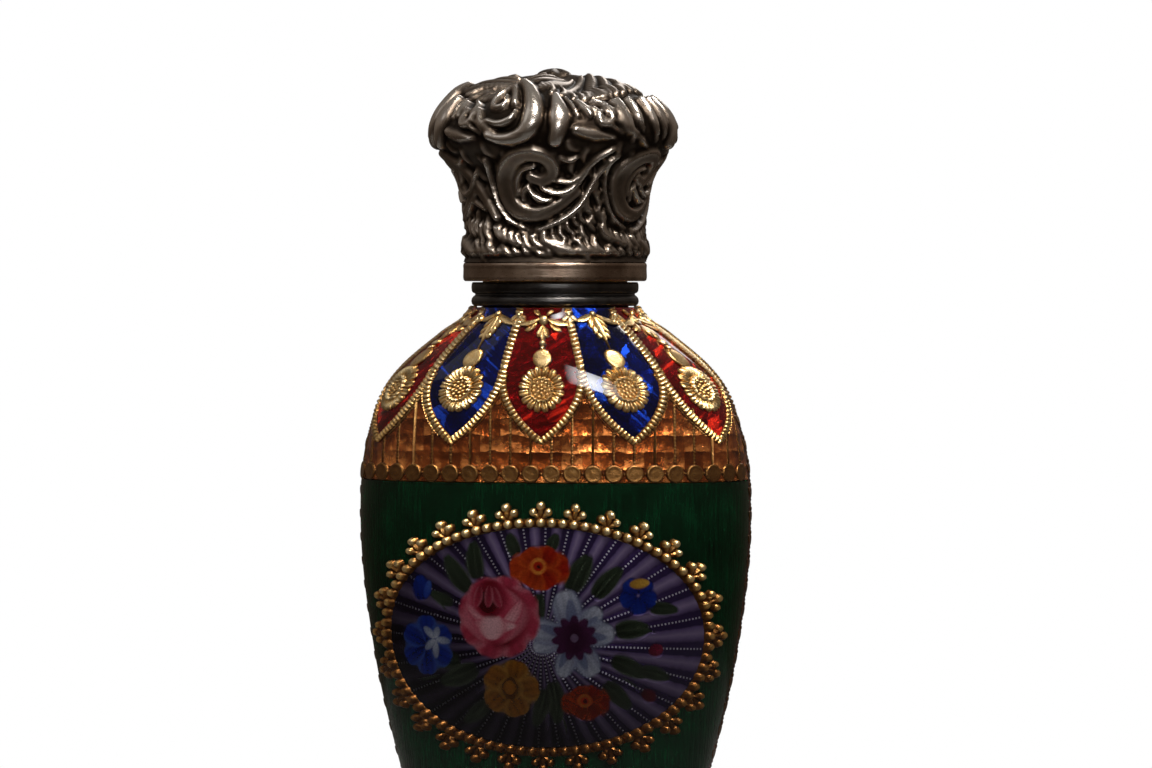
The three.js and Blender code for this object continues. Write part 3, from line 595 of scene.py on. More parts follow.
def paint(at, turning, length, width, inner, outer, rim=None, fullness=1.0, bend=0.0, streaks=0.0,
          strength=1.0):
    """One brush stroke or petal: a drop shape from at, drawn towards turning from upright, in mm.
    Its colour goes from inner at its foot to outer at its tip, with rim at its sides."""
    soft = 0.2
    right, up = oval_x - at[0], oval_y - at[1]
    sine, cosine = math.sin(turning), math.cos(turning)
    along = (right * sine + up * cosine) / length
    t = np.clip(along, 0, 1)
    across = right * cosine - up * sine - bend * length * t ** 2
    swelling = np.sin(math.pi * t ** fullness) ** 0.62
    edge = np.abs(across) / np.maximum(width / 2 * swelling, 1e-4)
    tip = np.clip(np.minimum(along, 1 - along) / (soft / 2), 0, 1)
    cover = (np.clip((1 + soft - edge) / (2 * soft), 0, 1) * tip * strength)[:, None]
    colour = np.outer(1 - t, inner) + np.outer(t, outer)
    if rim is not None:
        share = np.clip(edge, 0, 1)[:, None] ** 3
        colour = colour * (1 - share) + np.array(rim) * share
    wave = np.sin(across / width * 26 + 3 * along + 1.3 * at[0])[:, None]
    colour = np.clip(colour * (1 + streaks * wave), 0, 1)
    bouquet[:] = bouquet * (1 - cover) + np.c_[colour, np.ones(len(t))] * cover


def flower(at, petals, reach, width, inner, outer, rim, first):
    """An open flower of even petals round its heart."""
    for petal in range(petals):
        paint(at, first + 2 * math.pi * petal / petals, reach, width, inner, outer, rim, fullness=1.5,
              streaks=0.15)


def dot(at, radius, colour, rim=None):
    paint((at[0], at[1] - radius), 0.0, 2 * radius, 2 * radius, colour, colour, rim)


def shaded(colour, share):
    return tuple(part * share for part in colour)


leaf, leaf_light, leaf_dark = (0.02, 0.034, 0.019), (0.06, 0.078, 0.05), (0.006, 0.01, 0.007)
for x, y, turning, length, width in (
        (-7.4, 4.6, -0.75, 5.0, 2.2), (-6.6, 5.8, -0.25, 4.4, 2.1), (-2.4, 8.4, -0.5, 2.7, 1.6),
        (-9.2, 3.4, -1.3, 3.2, 1.4), (3.0, 4.6, 0.35, 4.7, 2.6), (5.4, 4.0, 0.6, 4.6, 2.2),
        (1.0, 8.9, 0.2, 2.1, 1.4), (7.4, 0.6, 1.35, 4.0, 2.3), (11.0, 3.0, 1.5, 3.4, 1.5),
        (7.0, -2.2, 1.9, 4.4, 2.1), (10.0, -3.4, 1.7, 3.6, 1.6), (6.2, -4.6, 2.2, 4.2, 2.0),
        (1.0, -4.2, 2.9, 5.0, 2.0), (0.4, -5.0, 3.3, 4.6, 1.8), (-6.6, -3.0, -2.1, 5.0, 2.3),
        (-8.4, -2.4, -1.7, 4.4, 1.9), (-5.6, -6.6, -2.4, 3.8, 1.7), (-0.6, 1.0, 0.0, 3.8, 2.0)):
    paint((x, y), turning, length, width, leaf_dark, leaf, leaf_light, 0.8, 0.12, 0.25)
    paint((x, y), turning, length * 0.86, 0.24, leaf_light, leaf_light, bend=0.12, strength=0.5)
for x, y, turning, length in (
        (-10.0, 2.6, -0.9, 3.0), (9.6, 1.2, 1.7, 2.4), (8.0, -4.0, 2.0, 2.8), (-11.0, -4.0, -2.0, 3.0),
        (2.0, -8.0, 2.7, 2.2), (-6.0, -7.0, -2.6, 2.6)):
    paint((x, y), turning, length, 0.26, leaf_light, leaf, bend=0.2)

deep_blue, blue, pale_blue = (0.002, 0.008, 0.11), (0.005, 0.026, 0.26), (0.045, 0.1, 0.36)
frost, snow = (0.16, 0.19, 0.3), (0.43, 0.45, 0.55)
paint((-12.9, 3.5), -0.1, 3.0, 2.3, deep_blue, blue, deep_blue, fullness=0.9, streaks=0.15)
paint((-12.6, 3.8), 0.3, 2.2, 0.9, blue, pale_blue, blue)
flower((-12.5, -1.0), 6, 3.3, 2.6, deep_blue, blue, pale_blue, 0.0)
for turning, length in ((-0.79, 1.9), (0.25, 1.4), (1.7, 1.8), (3.1, 2.1), (-2.33, 1.7)):
    paint((-11.5, -0.35), turning, length, 0.8, snow, frost, frost)
flower((10.0, 4.4), 5, 2.1, 2.0, deep_blue, blue, deep_blue, 0.6)
paint((9.0, 5.5), 1.45, 2.3, 1.1, (0.34, 0.16, 0.02), (0.6, 0.34, 0.05), (0.3, 0.14, 0.02))
paint((11.0, -1.6), 1.2, 1.8, 1.4, (0.09, 0.005, 0.02), (0.2, 0.014, 0.045), (0.13, 0.01, 0.03))
paint((10.2, -5.6), 2.0, 1.9, 1.4, (0.05, 0.003, 0.008), (0.12, 0.008, 0.02))

blood, scarlet, ember = (0.1, 0.003, 0.002), (0.36, 0.012, 0.003), (0.54, 0.07, 0.009)
fiery = (0.45, 0.041, 0.006)
# The lower red flower's colours are scaled to 0.55 of the upper one's, as painted shade.
for x, y, size, painted_light_share in ((-0.2, 7.2, 1.0, 1.0), (4.5, -6.7, 0.8, 0.55)):
    for turning, length, width in ((-1.6, 3.3, 3.0), (1.55, 3.3, 3.4), (2.5, 2.5, 2.9), (-2.6, 2.4, 2.9),
                                   (0.65, 2.6, 2.7), (-0.65, 2.5, 2.7)):
        paint((x, y), turning, length * size, width * size, blood,
              shaded(scarlet if turning > 0 else fiery, painted_light_share), shaded(ember, painted_light_share), 1.4, streaks=0.12)
    dot((x - 0.1, y + 0.2), 0.95 * size, shaded((0.6, 0.2, 0.03), painted_light_share), ember)
    dot((x - 0.1, y + 0.2), 0.55 * size, scarlet)
    dot((x - 0.05, y + 0.15), 0.25, blood)

# The yellow flower low in the bouquet is painted in dim browns, as painted shade.
umber, amber, straw = (0.09, 0.026, 0.003), (0.28, 0.1, 0.011), (0.36, 0.18, 0.035)
flower((-3.3, -5.3), 5, 3.2, 3.0, umber, amber, straw, 0.3)
dot((-3.3, -5.3), 1.3, umber, straw)
dot((-3.4, -5.2), 0.8, amber, umber)

lilac, plum, mauve = (0.07, 0.07, 0.16), (0.028, 0.004, 0.022), (0.06, 0.012, 0.055)
for turning, length, width in ((-0.2, 5.2, 3.3), (0.75, 4.3, 2.3), (1.45, 4.5, 2.8), (2.65, 4.8, 2.9),
                               (3.45, 4.6, 2.3), (-1.85, 4.6, 2.0), (-1.38, 5.0, 2.7)):
    paint((3.3, 0.1), turning, length, width, lilac, snow, frost, 1.3, streaks=0.12)
    paint((3.3, 0.1), turning + 0.12, length * 0.8, width * 0.35, lilac, frost)
for petal in range(11):
    paint((3.4, 0.0), 2 * math.pi * petal / 11, 2.5, 1.1, plum, mauve)
dot((3.4, 0.0), 1.75, plum, (0.06, 0.012, 0.05))
dot((3.4, 0.0), 0.5, (0.14, 0.09, 0.16), plum)

crimson, rose = (0.15, 0.003, 0.012), (0.42, 0.035, 0.075)
blush, pearl = (0.58, 0.17, 0.22), (0.72, 0.38, 0.42)
for petal in range(8):
    paint((-4.5, 2.1), 0.3 + 0.785 * petal, 4.6, 3.7, crimson, rose, blush, 1.5, streaks=0.1)
dot((-4.2, 2.1), 3.5, crimson, rose)
dot((-4.9, 2.3), 3.2, rose, blush)
for x, y, turning, length, width, bend in (
        (-7.9, 3.4, 2.35, 4.6, 1.6, -0.3), (-2.1, 3.9, 3.5, 4.2, 1.5, 0.3),
        (-7.2, 1.6, 1.9, 4.6, 1.7, -0.25)):
    paint((x, y), turning, length, width, blush, pearl, rose, bend=bend, streaks=0.1)
dot((-5.2, 1.1), 1.5, pearl, blush)
dot((-5.4, 4.0), 2.15, crimson, rose)
dot((-5.6, 3.7), 1.25, (0.06, 0.001, 0.004), crimson)
for x, turning in ((-7.0, 0.35), (-4.2, -0.5), (-5.6, 0.1)):
    paint((x, 3.0), turning, 2.4, 0.9, rose, crimson, blush, bend=-0.3 * turning, strength=0.7)


def mixed(share, first, second, **settings):
    return add_node(first.id_data, "Mix", {0: share, 6: first, 7: second}, data_type="RGBA",
                    **settings).outputs[2]


def dimmed(colour, share):
    inputs = {0: colour, "Scale": share}
    return add_node(colour.id_data, "VectorMath", inputs, operation="SCALE").outputs[0]


painted_medallion, tree, shader = enamel_finish("painted medallion", 0.0, 0.35)
place = stored(tree, "lay")
painted, paint_cover = stored(tree, "bouquet", "Color"), stored(tree, "bouquet", "Alpha")
right = part_of(place, "X")
up = maths("SUBTRACT", part_of(place, "Y"), RAY_CENTRE_HEIGHT)
bearing = maths("MULTIPLY", maths("ARCTAN2", up, right), RAY_COUNT / (2 * math.pi))
ray = maths("FRACT", maths("ADD", bearing, RAY_COUNT))
reach = maths("SQRT", maths("ADD", maths("MULTIPLY", right, right), maths("MULTIPLY", up, up)))
band = ramp(maths("MULTIPLY_ADD", noise(place, 1.4, 4.0), 0.1, maths("SUBTRACT", ray, 0.05)), [
    (0.0, (0.02, 0.011, 0.045)), (0.1, (0.08, 0.055, 0.13)), (0.3, (0.17, 0.13, 0.24)),
    (0.5, (0.075, 0.05, 0.13)), (0.56, (0.016, 0.009, 0.04)), (1.0, (0.02, 0.011, 0.045))])
off_row = maths("MULTIPLY", maths("ABSOLUTE", maths("SUBTRACT", ray, 0.79)), reach)
dash_step = maths("LESS_THAN", maths("FRACT", maths("DIVIDE", reach, 0.38)), 0.45)
dashes = maths("MULTIPLY", maths("LESS_THAN", off_row, 0.5), dash_step)
# The ground is dimmed from 0.9 at the upper right to 0.06 at the lower left: painted light and painted
# shade.
ground = dimmed(mixed(dashes, band, (0.36, 0.35, 0.42, 1)),
                ranged(maths("MULTIPLY_ADD", right, 0.5, up), -9.0, 13.0, 0.06, 0.9))
brushed = noise(place, 5.0, 3.0)
brushwork = mixed(0.5, painted, ramp(brushed, [(0.3, (0.3, 0.3, 0.3)), (0.7, (1.0, 1.0, 1.0))]),
                  blend_type="MULTIPLY")
# The painting is dimmed overall, and more towards the bottom, from 0.34 down to 0.13: painted shade.
bouquet_in_painted_shade = dimmed(brushwork, ranged(up, -10.0, 7.0, 0.13, 0.34))
bare = maths("SUBTRACT", 1.0, paint_cover, clamp=True)
fill(shader, {"Base Color": mixed(paint_cover, ground, bouquet_in_painted_shade), "Metallic": maths("MULTIPLY", bare, 0.7)})
flute = maths("SINE", maths("MULTIPLY", ray, math.pi))
struck = maths("MULTIPLY", maths("MULTIPLY_ADD", flute, 0.15, maths("MULTIPLY", dashes, 0.05)), bare)
add_relief(shader, maths("MULTIPLY_ADD", brushed, 0.03, struck), 0.7)

colours = medallion.verts.layers.float_color.new("bouquet")
for vert, x, y, colour in zip(medallion.verts, oval_x, oval_y, bouquet):
    vert.co = (x, y, 0)
    vert[colours] = colour
drop_rim(medallion, medallion.verts, -ENAMEL_THICKNESS)
lay_on_flask(medallion, MEDALLION_HEIGHT)
twin_pieces("painted_oval_{}", medallion, painted_medallion, "violet_enamel", "medallion_{}", FACES)

# Side stripes: a narrow strip of maroon enamel down each side, over the joint of the shells, ground
# flush between the two faces' fields.
maroon_enamel, tree, shader = enamel_finish("maroon enamel", 0.6, 0.3, 0.03)
clouds = noise(stored(tree, "lay"), 0.8, 4.0)
fill(shader, {"Base Color": ramp(clouds, [(0.35, (0.02, 0.003, 0.003)), (0.7, (0.085, 0.008, 0.008))])})
add_relief(shader, maths("MULTIPLY", clouds, 0.15), 0.6)


def stripe_place(across, up):
    height = ENAMEL_FOOT + (LAPPET_TOP - ENAMEL_FOOT) * (up + 1) / 2
    return 1 + across * SIDE_STRIPE_WIDTH / 2 / quarter_arc(height), height


laid_field("maroon_strip_{}", 6, 120, stripe_place, maroon_enamel, "maroon_enamel", "side_stripe_{}", SIDES)

# Applied gold: small stamped pieces of thin gold, laid on the enamel and glazed over. Leaves,
# drops and beads are drawn flat and wrapped on the flask.
GOLD_SINK = -0.06
FULL_LIGHT_HEIGHT = 62.0


def gold_petal(bm, at, turning, length, width, rise, fullness=1.0, bend=0.0, groove=0.0, sides=12, rings=8):
    """A leaf or drop of gold from at towards turning, which is measured from upright."""
    made = bmesh.ops.create_uvsphere(bm, u_segments=sides, v_segments=rings, radius=1)["verts"]
    for vert in made:
        along = (1 - vert.co.z) / 2
        round_it = max(math.hypot(vert.co.x, vert.co.y), 1e-6)
        aside, out = vert.co.x / round_it, vert.co.y / round_it
        swelling = math.sin(math.pi * along ** fullness) ** 0.7 if 0.001 < along < 0.999 else 0.0
        lift = rise * swelling ** 0.5 * max(out, 0) + (GOLD_SINK if out < 0.1 else 0)
        if out > 0.9:
            lift -= groove * swelling
        angle = turning + bend * along
        if abs(bend) > 1e-3:
            mid = (length / bend * (math.cos(turning) - math.cos(angle)),
                   length / bend * (math.sin(angle) - math.sin(turning)))
        else:
            mid = (length * along * math.sin(turning), length * along * math.cos(turning))
        side = width / 2 * swelling * aside
        vert.co = (at[0] + mid[0] + side * math.cos(angle), at[1] + mid[1] - side * math.sin(angle), lift)


def gold_bead(bm, at, radius, rise, sides=10, rings=6):
    made = bmesh.ops.create_uvsphere(bm, u_segments=sides, v_segments=rings, radius=radius)["verts"]
    for vert in made:
        vert.co = (at[0] + vert.co.x, at[1] + vert.co.y, max(vert.co.z / radius * rise, GOLD_SINK))


def gold_disc(bm, at, profile, sides):
    """A round stamped disc. Its profile is radius and rise from the middle to the edge."""
    last = profile[1][0]
    made = bmesh.ops.create_circle(bm, cap_ends=True, cap_tris=True, segments=sides, radius=last)
    verts = list(made["verts"])
    for vert in verts:
        vert.co.z = profile[1][1] if vert.co.length > 1e-6 else profile[0][1]
    edges = open_rim(verts)
    for radius, rise in profile[2:]:
        grown, edges = extruded(bm, edges)
        for vert in grown:
            vert.co = (vert.co.x * radius / last, vert.co.y * radius / last, rise)
        verts += grown
        last = radius
    bmesh.ops.translate(bm, verts=verts, vec=(*at, 0))


def ribbed_strip(bm, path, width, rise, pitch, columns=4, per_rib=6, crown=0.3):
    """A flat strip with ribs across it along a path of flat points in mm."""
    points = np.array(path, float)
    lengths = np.r_[0, np.cumsum(np.hypot(*np.diff(points, axis=0).T))]
    ribs = max(int(round(lengths[-1] / pitch)), 1)

    def point_at(run):
        return np.array([np.interp(run, lengths, points[:, axis]) for axis in (0, 1)])

    made = bmesh.ops.create_grid(bm, x_segments=columns, y_segments=ribs * per_rib, size=1)["verts"]
    for vert in made:
        share = (vert.co.y + 1) / 2
        run = share * lengths[-1]
        way = point_at(min(run + 0.1, lengths[-1])) - point_at(max(run - 0.1, 0))
        side = np.array([way[1], -way[0]]) / math.hypot(*way)
        rib = abs(math.cos(math.pi * ribs * share))
        height = rise * (0.3 + 0.7 * rib ** 0.7) * (1 - crown * vert.co.x ** 2)
        vert.co = (*(point_at(run) + side * vert.co.x * width / 2), height)
    drop_rim(bm, made, GOLD_SINK)


# Painted shade: the gold is darker the lower it sits on the flask, up to FULL_LIGHT_HEIGHT, and in its
# hollows, where brown wear lies too. Clouds of wear vary it.
applied_gold, tree, shader = new_finish("applied gold", {
    "Metallic": 1.0, "Coat Weight": 0.6, "Coat Roughness": 0.03})
place = stored(tree, "lay")
pits = noise(place, 9.0, 3.0)
upper = maths("MULTIPLY", maths("MINIMUM", part_of(place, "Y"), FULL_LIGHT_HEIGHT), 0.035)
wear_and_painted_shade = maths("ADD", maths("MULTIPLY_ADD", part_of(place, "Z"), 2.2, upper),
             maths("MULTIPLY_ADD", noise(place, 1.6, 5.0, 0.65), 0.5, -2.3))
fill(shader, {
    "Base Color": ramp(wear_and_painted_shade, [(0.02, (0.13, 0.052, 0.014)), (0.28, (0.36, 0.17, 0.05)),
                              (0.55, (0.78, 0.47, 0.155)), (0.85, (1.0, 0.78, 0.42))]),
    "Roughness": ranged(pits, 0.3, 0.7, 0.24, 0.42),
    "Coat Normal": stored(tree, "glaze")})
add_relief(shader, pits, 0.6, 0.00003)


def gold_twins(name, bm, replaced, where=FACES, crease=40):
    twin_pieces(name, bm, applied_gold, "applied_gold", replaced, where, crease=crease, glazed=True)


# Lappet borders: ribbed strips round each lappet, one shared upright from the collar to the
# split and a curved arm on each side of the point, with a plain wire outside the arms.
RIB_PITCH = 0.47
UPRIGHT_FOOT = LAPPET_SPLIT - 0.3


def border_limit(height):
    """The share where a border runs down the edge of its face."""
    return face_share(1, height) - BORDER_WIDTH / 2 / quarter_arc(height)


def border_share(side, height):
    return np.clip(face_share(side, height), -border_limit(height), border_limit(height))


bm = bmesh.new()
for index in range(LAPPET_COUNT):
    for hand in (-1, 1):
        for offset, width, rise, pitch, first, last, columns, crown in (
                (0.0, 0.66, 0.34, RIB_PITCH, 0.0, 1.0, 4, 0.3), (0.52, 0.14, 0.22, 0.3, 0.12, 0.9, 2, 0.7)):
            levels = np.linspace(first, last, 25)
            heights = level_height(levels)
            limit = border_limit(heights)
            arcs = border_share(lappet_side(index, hand * edge_part(levels)), heights) * quarter_arc(heights)
            if offset:
                slope = np.gradient(arcs, heights)
                size = np.hypot(1, slope)
                arcs, heights = arcs + hand * offset / size, heights - hand * slope * offset / size
                room = np.abs(arcs) < limit * quarter_arc(heights)
                arcs, heights = arcs[room], heights[room]
            if len(arcs) > 3:
                ribbed_strip(bm, list(zip(arcs, heights)), width, rise, pitch, columns, crown=crown)
for line in range(LAPPET_COUNT + 1):
    heights = np.linspace(UPRIGHT_FOOT, LAPPET_TOP, 12)
    arcs = border_share(lappet_side(line, -1), heights) * quarter_arc(heights)
    ribbed_strip(bm, list(zip(arcs, heights)), 0.76, 0.36, RIB_PITCH)
lay_on_flask(bm)
gold_twins("ribbed_borders_{}", bm, "lappet_borders_{}", crease=55)

# Pendants: a palmette under the collar, a hanging leaf or stem, a disc and a rosette, one down
# the middle of each lappet.
ROSETTE_HEIGHT, ROSETTE_RADIUS, DISC_HEIGHT = 62.8, 2.4, 65.95
DISC_PROFILE = [(0, 0.24), (0.45, 0.25), (0.8, 0.24), (0.92, 0.2), (0.99, 0.08), (1.0, GOLD_SINK)]


def gold_rosette(bm, radius):
    """Sixteen blunt lobes, each with two ridges, round a wire ring and a seeded middle."""
    shares = [0, 0.3, 0.44, 0.47, 0.5, 0.53, 0.56, 0.66, 0.78, 0.88, 0.95, 0.99, 1, 1]
    made = bmesh.ops.create_grid(bm, x_segments=192, y_segments=len(shares) - 1, size=1)["verts"]
    for vert in made:
        turning = math.pi * vert.co.x
        row = round((vert.co.y + 1) / 2 * (len(shares) - 1))
        lobe = abs(turning * 16 / math.pi % 2 - 1)
        reach = shares[row] * radius * (1 - 0.1 * max(lobe - 0.45, 0) / 0.55)
        petal = 0.06 + 0.34 * float(np.interp(lobe, (0, 0.2, 0.5, 0.75, 1), (0.5, 0.62, 1, 0.85, 0)))
        petal *= math.sqrt(max(1 - (max(shares[row] - 0.8, 0) / 0.21) ** 2, 0))
        petal *= float(np.interp(shares[row], (0.56, 0.8), (0.45, 1)))
        wire = 0.32 * max(1 - ((shares[row] - 0.5) / 0.055) ** 2, 0) ** 0.5
        height = 0.1 + wire if shares[row] < 0.56 else petal
        vert.co = (reach * math.sin(turning), reach * math.cos(turning),
                   GOLD_SINK if row == len(shares) - 1 else height)
    bmesh.ops.remove_doubles(bm, verts=made, dist=1e-4)
    for count, ring in ((1, 0.0), (6, 0.4), (11, 0.8)):
        for number in range(count):
            turning = 2 * math.pi * number / count
            gold_bead(bm, (ring * math.sin(turning), ring * math.cos(turning)), 0.2, 0.28, 8, 6)


for index in range(LAPPET_COUNT):
    bm = bmesh.new()
    gold_rosette(bm, ROSETTE_RADIUS)
    top = DISC_HEIGHT - ROSETTE_HEIGHT
    gold_disc(bm, (0, top), DISC_PROFILE, sides=20)
    if index % 2 == 0:
        gold_bead(bm, (0, top + 1.1), 0.28, 0.4)
        gold_bead(bm, (0, top + 1.6), 0.4, 0.45)
        foot = top + 3.55
        for lean, length in ((-0.36, 1.5), (0.36, 1.5), (0.0, 1.85)):
            gold_petal(bm, (0, foot), math.pi + lean, length, 0.72, 0.3, 1.5, groove=0.08)
        gold_bead(bm, (0, foot + 0.4), 0.55, 0.34, 12, 8)
        gold_bead(bm, (0, foot + 0.4), 0.22, 0.46)
        for hand in (-1, 1):
            for x, y, turning, length, width, rise, fullness, bend, groove in (
                    (0.3, 0.65, 2.25, 2.9, 0.66, 0.34, 0.9, -1.0, 0.1),
                    (0.6, 0.15, 2.5, 1.5, 0.5, 0.28, 1.2, -0.5, 0.06),
                    (1.1, -0.2, 2.3, 1.0, 0.45, 0.26, 1.2, -0.4, 0.06),
                    (0.25, 0.8, 0.75, 1.0, 0.55, 0.28, 1.2, 0.3, 0.06)):
                gold_petal(bm, (x * hand, foot + y), hand * turning, length, width, rise, fullness,
                           bend * hand, groove)
    else:
        gold_petal(bm, (0, top + 0.7), 0.0, 2.0, 0.2, 0.24, 1.0, sides=8, rings=6)
        foot = top + 4.5
        gold_petal(bm, (0, foot), math.pi, 2.9, 0.95, 0.34, 0.9, groove=0.12)
        for hand in (-1, 1):
            for start, length in ((0.1, 1.5), (0.9, 1.3), (1.7, 0.9)):
                gold_petal(bm, (0.1 * hand, foot - start), math.pi - 0.7 * hand, length, 0.6, 0.3, 1.4,
                           0.3 * hand, 0.06)
            gold_petal(bm, (0.2 * hand, foot + 0.1), hand * 2.3, 2.6 + 0.5 * hand, 0.7, 0.34, 0.85,
                       -0.8 * hand, 0.1)
        gold_bead(bm, (0, foot + 0.1), 0.36, 0.36)
    lay_on_flask(bm, ROSETTE_HEIGHT, lambda level: face_share(lappet_side(index), level))
    gold_twins(f"gold_pendant_{{}}_{index + 1}", bm, f"pendant_{{}}_{index + 1}")

# Collar leaves: a small three-leaved spray of stamped gold at the head of every border, its upper
# end tucked under the collar.
bm = bmesh.new()
for _, turn in FACES:
    for line in range(LAPPET_COUNT + 1):
        spray = bmesh.new()
        for lean, length in ((-0.8, 1.2), (0.8, 1.2), (0.0, 1.6)):
            gold_petal(spray, (0, 0.4), math.pi + lean, length, 0.6, 0.36, 1.3, groove=0.1)
        gold_bead(spray, (0, 0.3), 0.32, 0.4)
        lay_on_flask(spray, LAPPET_TOP - 1.0, lambda level: border_share(lappet_side(line, -1), level), 0.05)
        bmesh.ops.rotate(spray, verts=spray.verts, cent=(0, 0, 0), matrix=Matrix.Rotation(turn, 3, "Z"))
        held = bpy.data.meshes.new("spray")
        spray.to_mesh(held)
        spray.free()
        bm.from_mesh(held)
finished_piece("collar_leaves", bm, applied_gold, "applied_gold", glazed=True)

# Disc row: small hammered discs along the joint of the copper and green fields, each with an
# upright twisted wire that runs to the border above it.
DISC_ROW_HEIGHT = 54.1
LONGEST_WIRE = 9.6
SMALL_DISC = [(0, 0.19), (0.4, 0.18), (0.7, 0.17), (0.8, 0.2), (0.88, 0.16), (0.93, 0.05), (0.94, GOLD_SINK)]
half_row = float(quarter_arc(DISC_ROW_HEIGHT) * face_share(1, DISC_ROW_HEIGHT))
disc_count = int(2 * half_row / DISC_PITCH)

bm = bmesh.new()
for number in range(disc_count):
    arc = (number - (disc_count - 1) / 2) * DISC_PITCH
    gold_disc(bm, (arc, 0), SMALL_DISC, sides=24)
    lappets = (arc / half_row + 1) * LAPPET_COUNT / 2
    part = 2 * (lappets - math.floor(lappets)) - 1
    top = min(level_height(edge_level(part)) - 0.2 - DISC_ROW_HEIGHT, LONGEST_WIRE)
    plain = number % 3 == 1
    rise, per_rib = (0.16, 1) if plain else (0.13, 4)
    ribbed_strip(bm, [(arc, 0.8), (arc, top)], 0.24, rise, 0.34, 2, per_rib, 0.5)
    if number:
        ribbed_strip(bm, [(arc - DISC_PITCH + 0.8, 0), (arc - 0.8, 0)], 0.3, 0.16, 0.3, 2, crown=0.7)
lay_on_flask(bm, DISC_ROW_HEIGHT)
gold_twins("gold_discs_{}", bm, "disc_row_{}", crease=60)

# Medallion border: a round of touching gold beads with small three-drop flowers outside it, laid
# over the joint of the medallion and the green field.
FLOWER_COUNT = 28
BEAD_COUNT = 3 * FLOWER_COUNT
BEAD_ROW_GROWTH = 0.5

steps = np.linspace(0, 2 * math.pi, 1441)
oval = np.stack([(MEDALLION_HALF_ARC + BEAD_ROW_GROWTH) * np.cos(steps),
                 (MEDALLION_HALF_HEIGHT + BEAD_ROW_GROWTH) * np.sin(steps)])
runs = np.r_[0, np.cumsum(np.hypot(*np.diff(oval, axis=1)))]


def round_oval(share):
    """Place and outward direction at a share of the way round the bead row, from its top."""
    run = (share + 0.25) % 1 * runs[-1]
    turning = np.interp(run, runs, steps)
    way = np.array([math.cos(turning) / MEDALLION_HALF_ARC, math.sin(turning) / MEDALLION_HALF_HEIGHT])
    return np.array([np.interp(run, runs, oval[axis]) for axis in (0, 1)]), way / np.hypot(*way)


bm = bmesh.new()
band = [round_oval(share)[0] for share in np.linspace(0, 0.999999, 241)]
ribbed_strip(bm, band, 0.85, 0.16, 0.8, 2, 2, 0.5)
for number in range(BEAD_COUNT):
    spot, way = round_oval(number / BEAD_COUNT)
    gold_bead(bm, spot, 0.56, 0.6)
    if number % 3 == 0:
        for lean, reach, size in ((0, 1.42, 0.54), (0.78, 1.1, 0.48), (-0.78, 1.1, 0.48)):
            bearing = math.atan2(way[0], way[1]) + lean
            ahead = np.array([math.sin(bearing), math.cos(bearing)])
            stem = spot + way * 0.3
            gold_petal(bm, stem, bearing, reach + 0.1, size * 1.3, 0.42, 1.4, sides=8, rings=6)
            gold_bead(bm, stem + ahead * reach, size, 0.62)
lay_on_flask(bm, MEDALLION_HEIGHT)
gold_twins("beaded_border_{}", bm, "medallion_border_{}")

# Side sprays: paired gold leaves on a stem, with a bead above each pair, laid down each maroon
# stripe.
LEAF_PITCH = 2.5
bottom, top = ENAMEL_FOOT + 0.4, LAPPET_TOP - 0.6
bm = bmesh.new()
ribbed_strip(bm, [(0, bottom), (0, top)], 0.28, 0.12, 0.5, 2, 2, 0.7)
for number in range(int((top - bottom) / LEAF_PITCH)):
    foot = bottom + (number + 0.2) * LEAF_PITCH
    for hand in (-1, 1):
        gold_petal(bm, (0, foot), 0.62 * hand, 1.75, 0.75, 0.16, 1.2, 0.3 * hand, 0.03, sides=8, rings=6)
    gold_bead(bm, (0, foot + 1.5), 0.3, 0.16, 8, 6)
lay_on_flask(bm, home=1.0)
gold_twins("leaf_spray_{}", bm, "side_spray_{}", SIDES)

# Foot ring and base plate: a moulded oval foot of blackened metal under a flat gilt plate that
# closes the flask. Both are soldered on.
FOOT_RING_HEIGHT = 1.8


def eased(points, step):
    """Takes the corners off a profile, by up to step mm on each side."""
    points = np.array(points, float)
    closed = np.allclose(points[0], points[-1])
    line = points[:-1] if closed else points
    result = [] if closed else [points[0]]
    for number in range(len(line)) if closed else range(1, len(line) - 1):
        ways = line[number - 1] - line[number], line[(number + 1) % len(line)] - line[number]
        back, on = [way * min(step / np.linalg.norm(way), 0.45) for way in ways]
        result += [line[number] + back * (1 - t) ** 2 + on * t ** 2 for t in (0, 0.33, 0.67, 1)]
    return np.array(result + [result[0] if closed else points[-1]])


def round_plan(angle, reach, height):
    return np.stack([reach * np.sin(angle), -reach * np.cos(angle), height + 0 * angle], axis=-1)


def foot_plan(angle, reach, height):
    foot = section_point(angle, FOOT_HEIGHT + 0 * angle, reach)
    return np.stack([foot[..., 0], foot[..., 1], height + 0 * angle], axis=-1)


def moulded(name, profile, step, finish, slot, replaced, body="flask", plan=round_plan, crease=35):
    """A ring or solid with one eased profile all the way round, given as reach and height in mm."""
    profile = eased(profile, step)
    bm, grid = new_grid(96, len(profile) - 1)
    row = np.rint((grid[:, 1] + 1) / 2 * (len(profile) - 1)).astype(int)
    set_places(bm, plan(math.pi * grid[:, 0], profile[row, 0], profile[row, 1]))
    bmesh.ops.remove_doubles(bm, verts=bm.verts, dist=1e-4)
    bmesh.ops.recalc_face_normals(bm, faces=bm.faces)
    finished_piece(name, bm, finish, slot, [replaced], body=body, crease=crease)


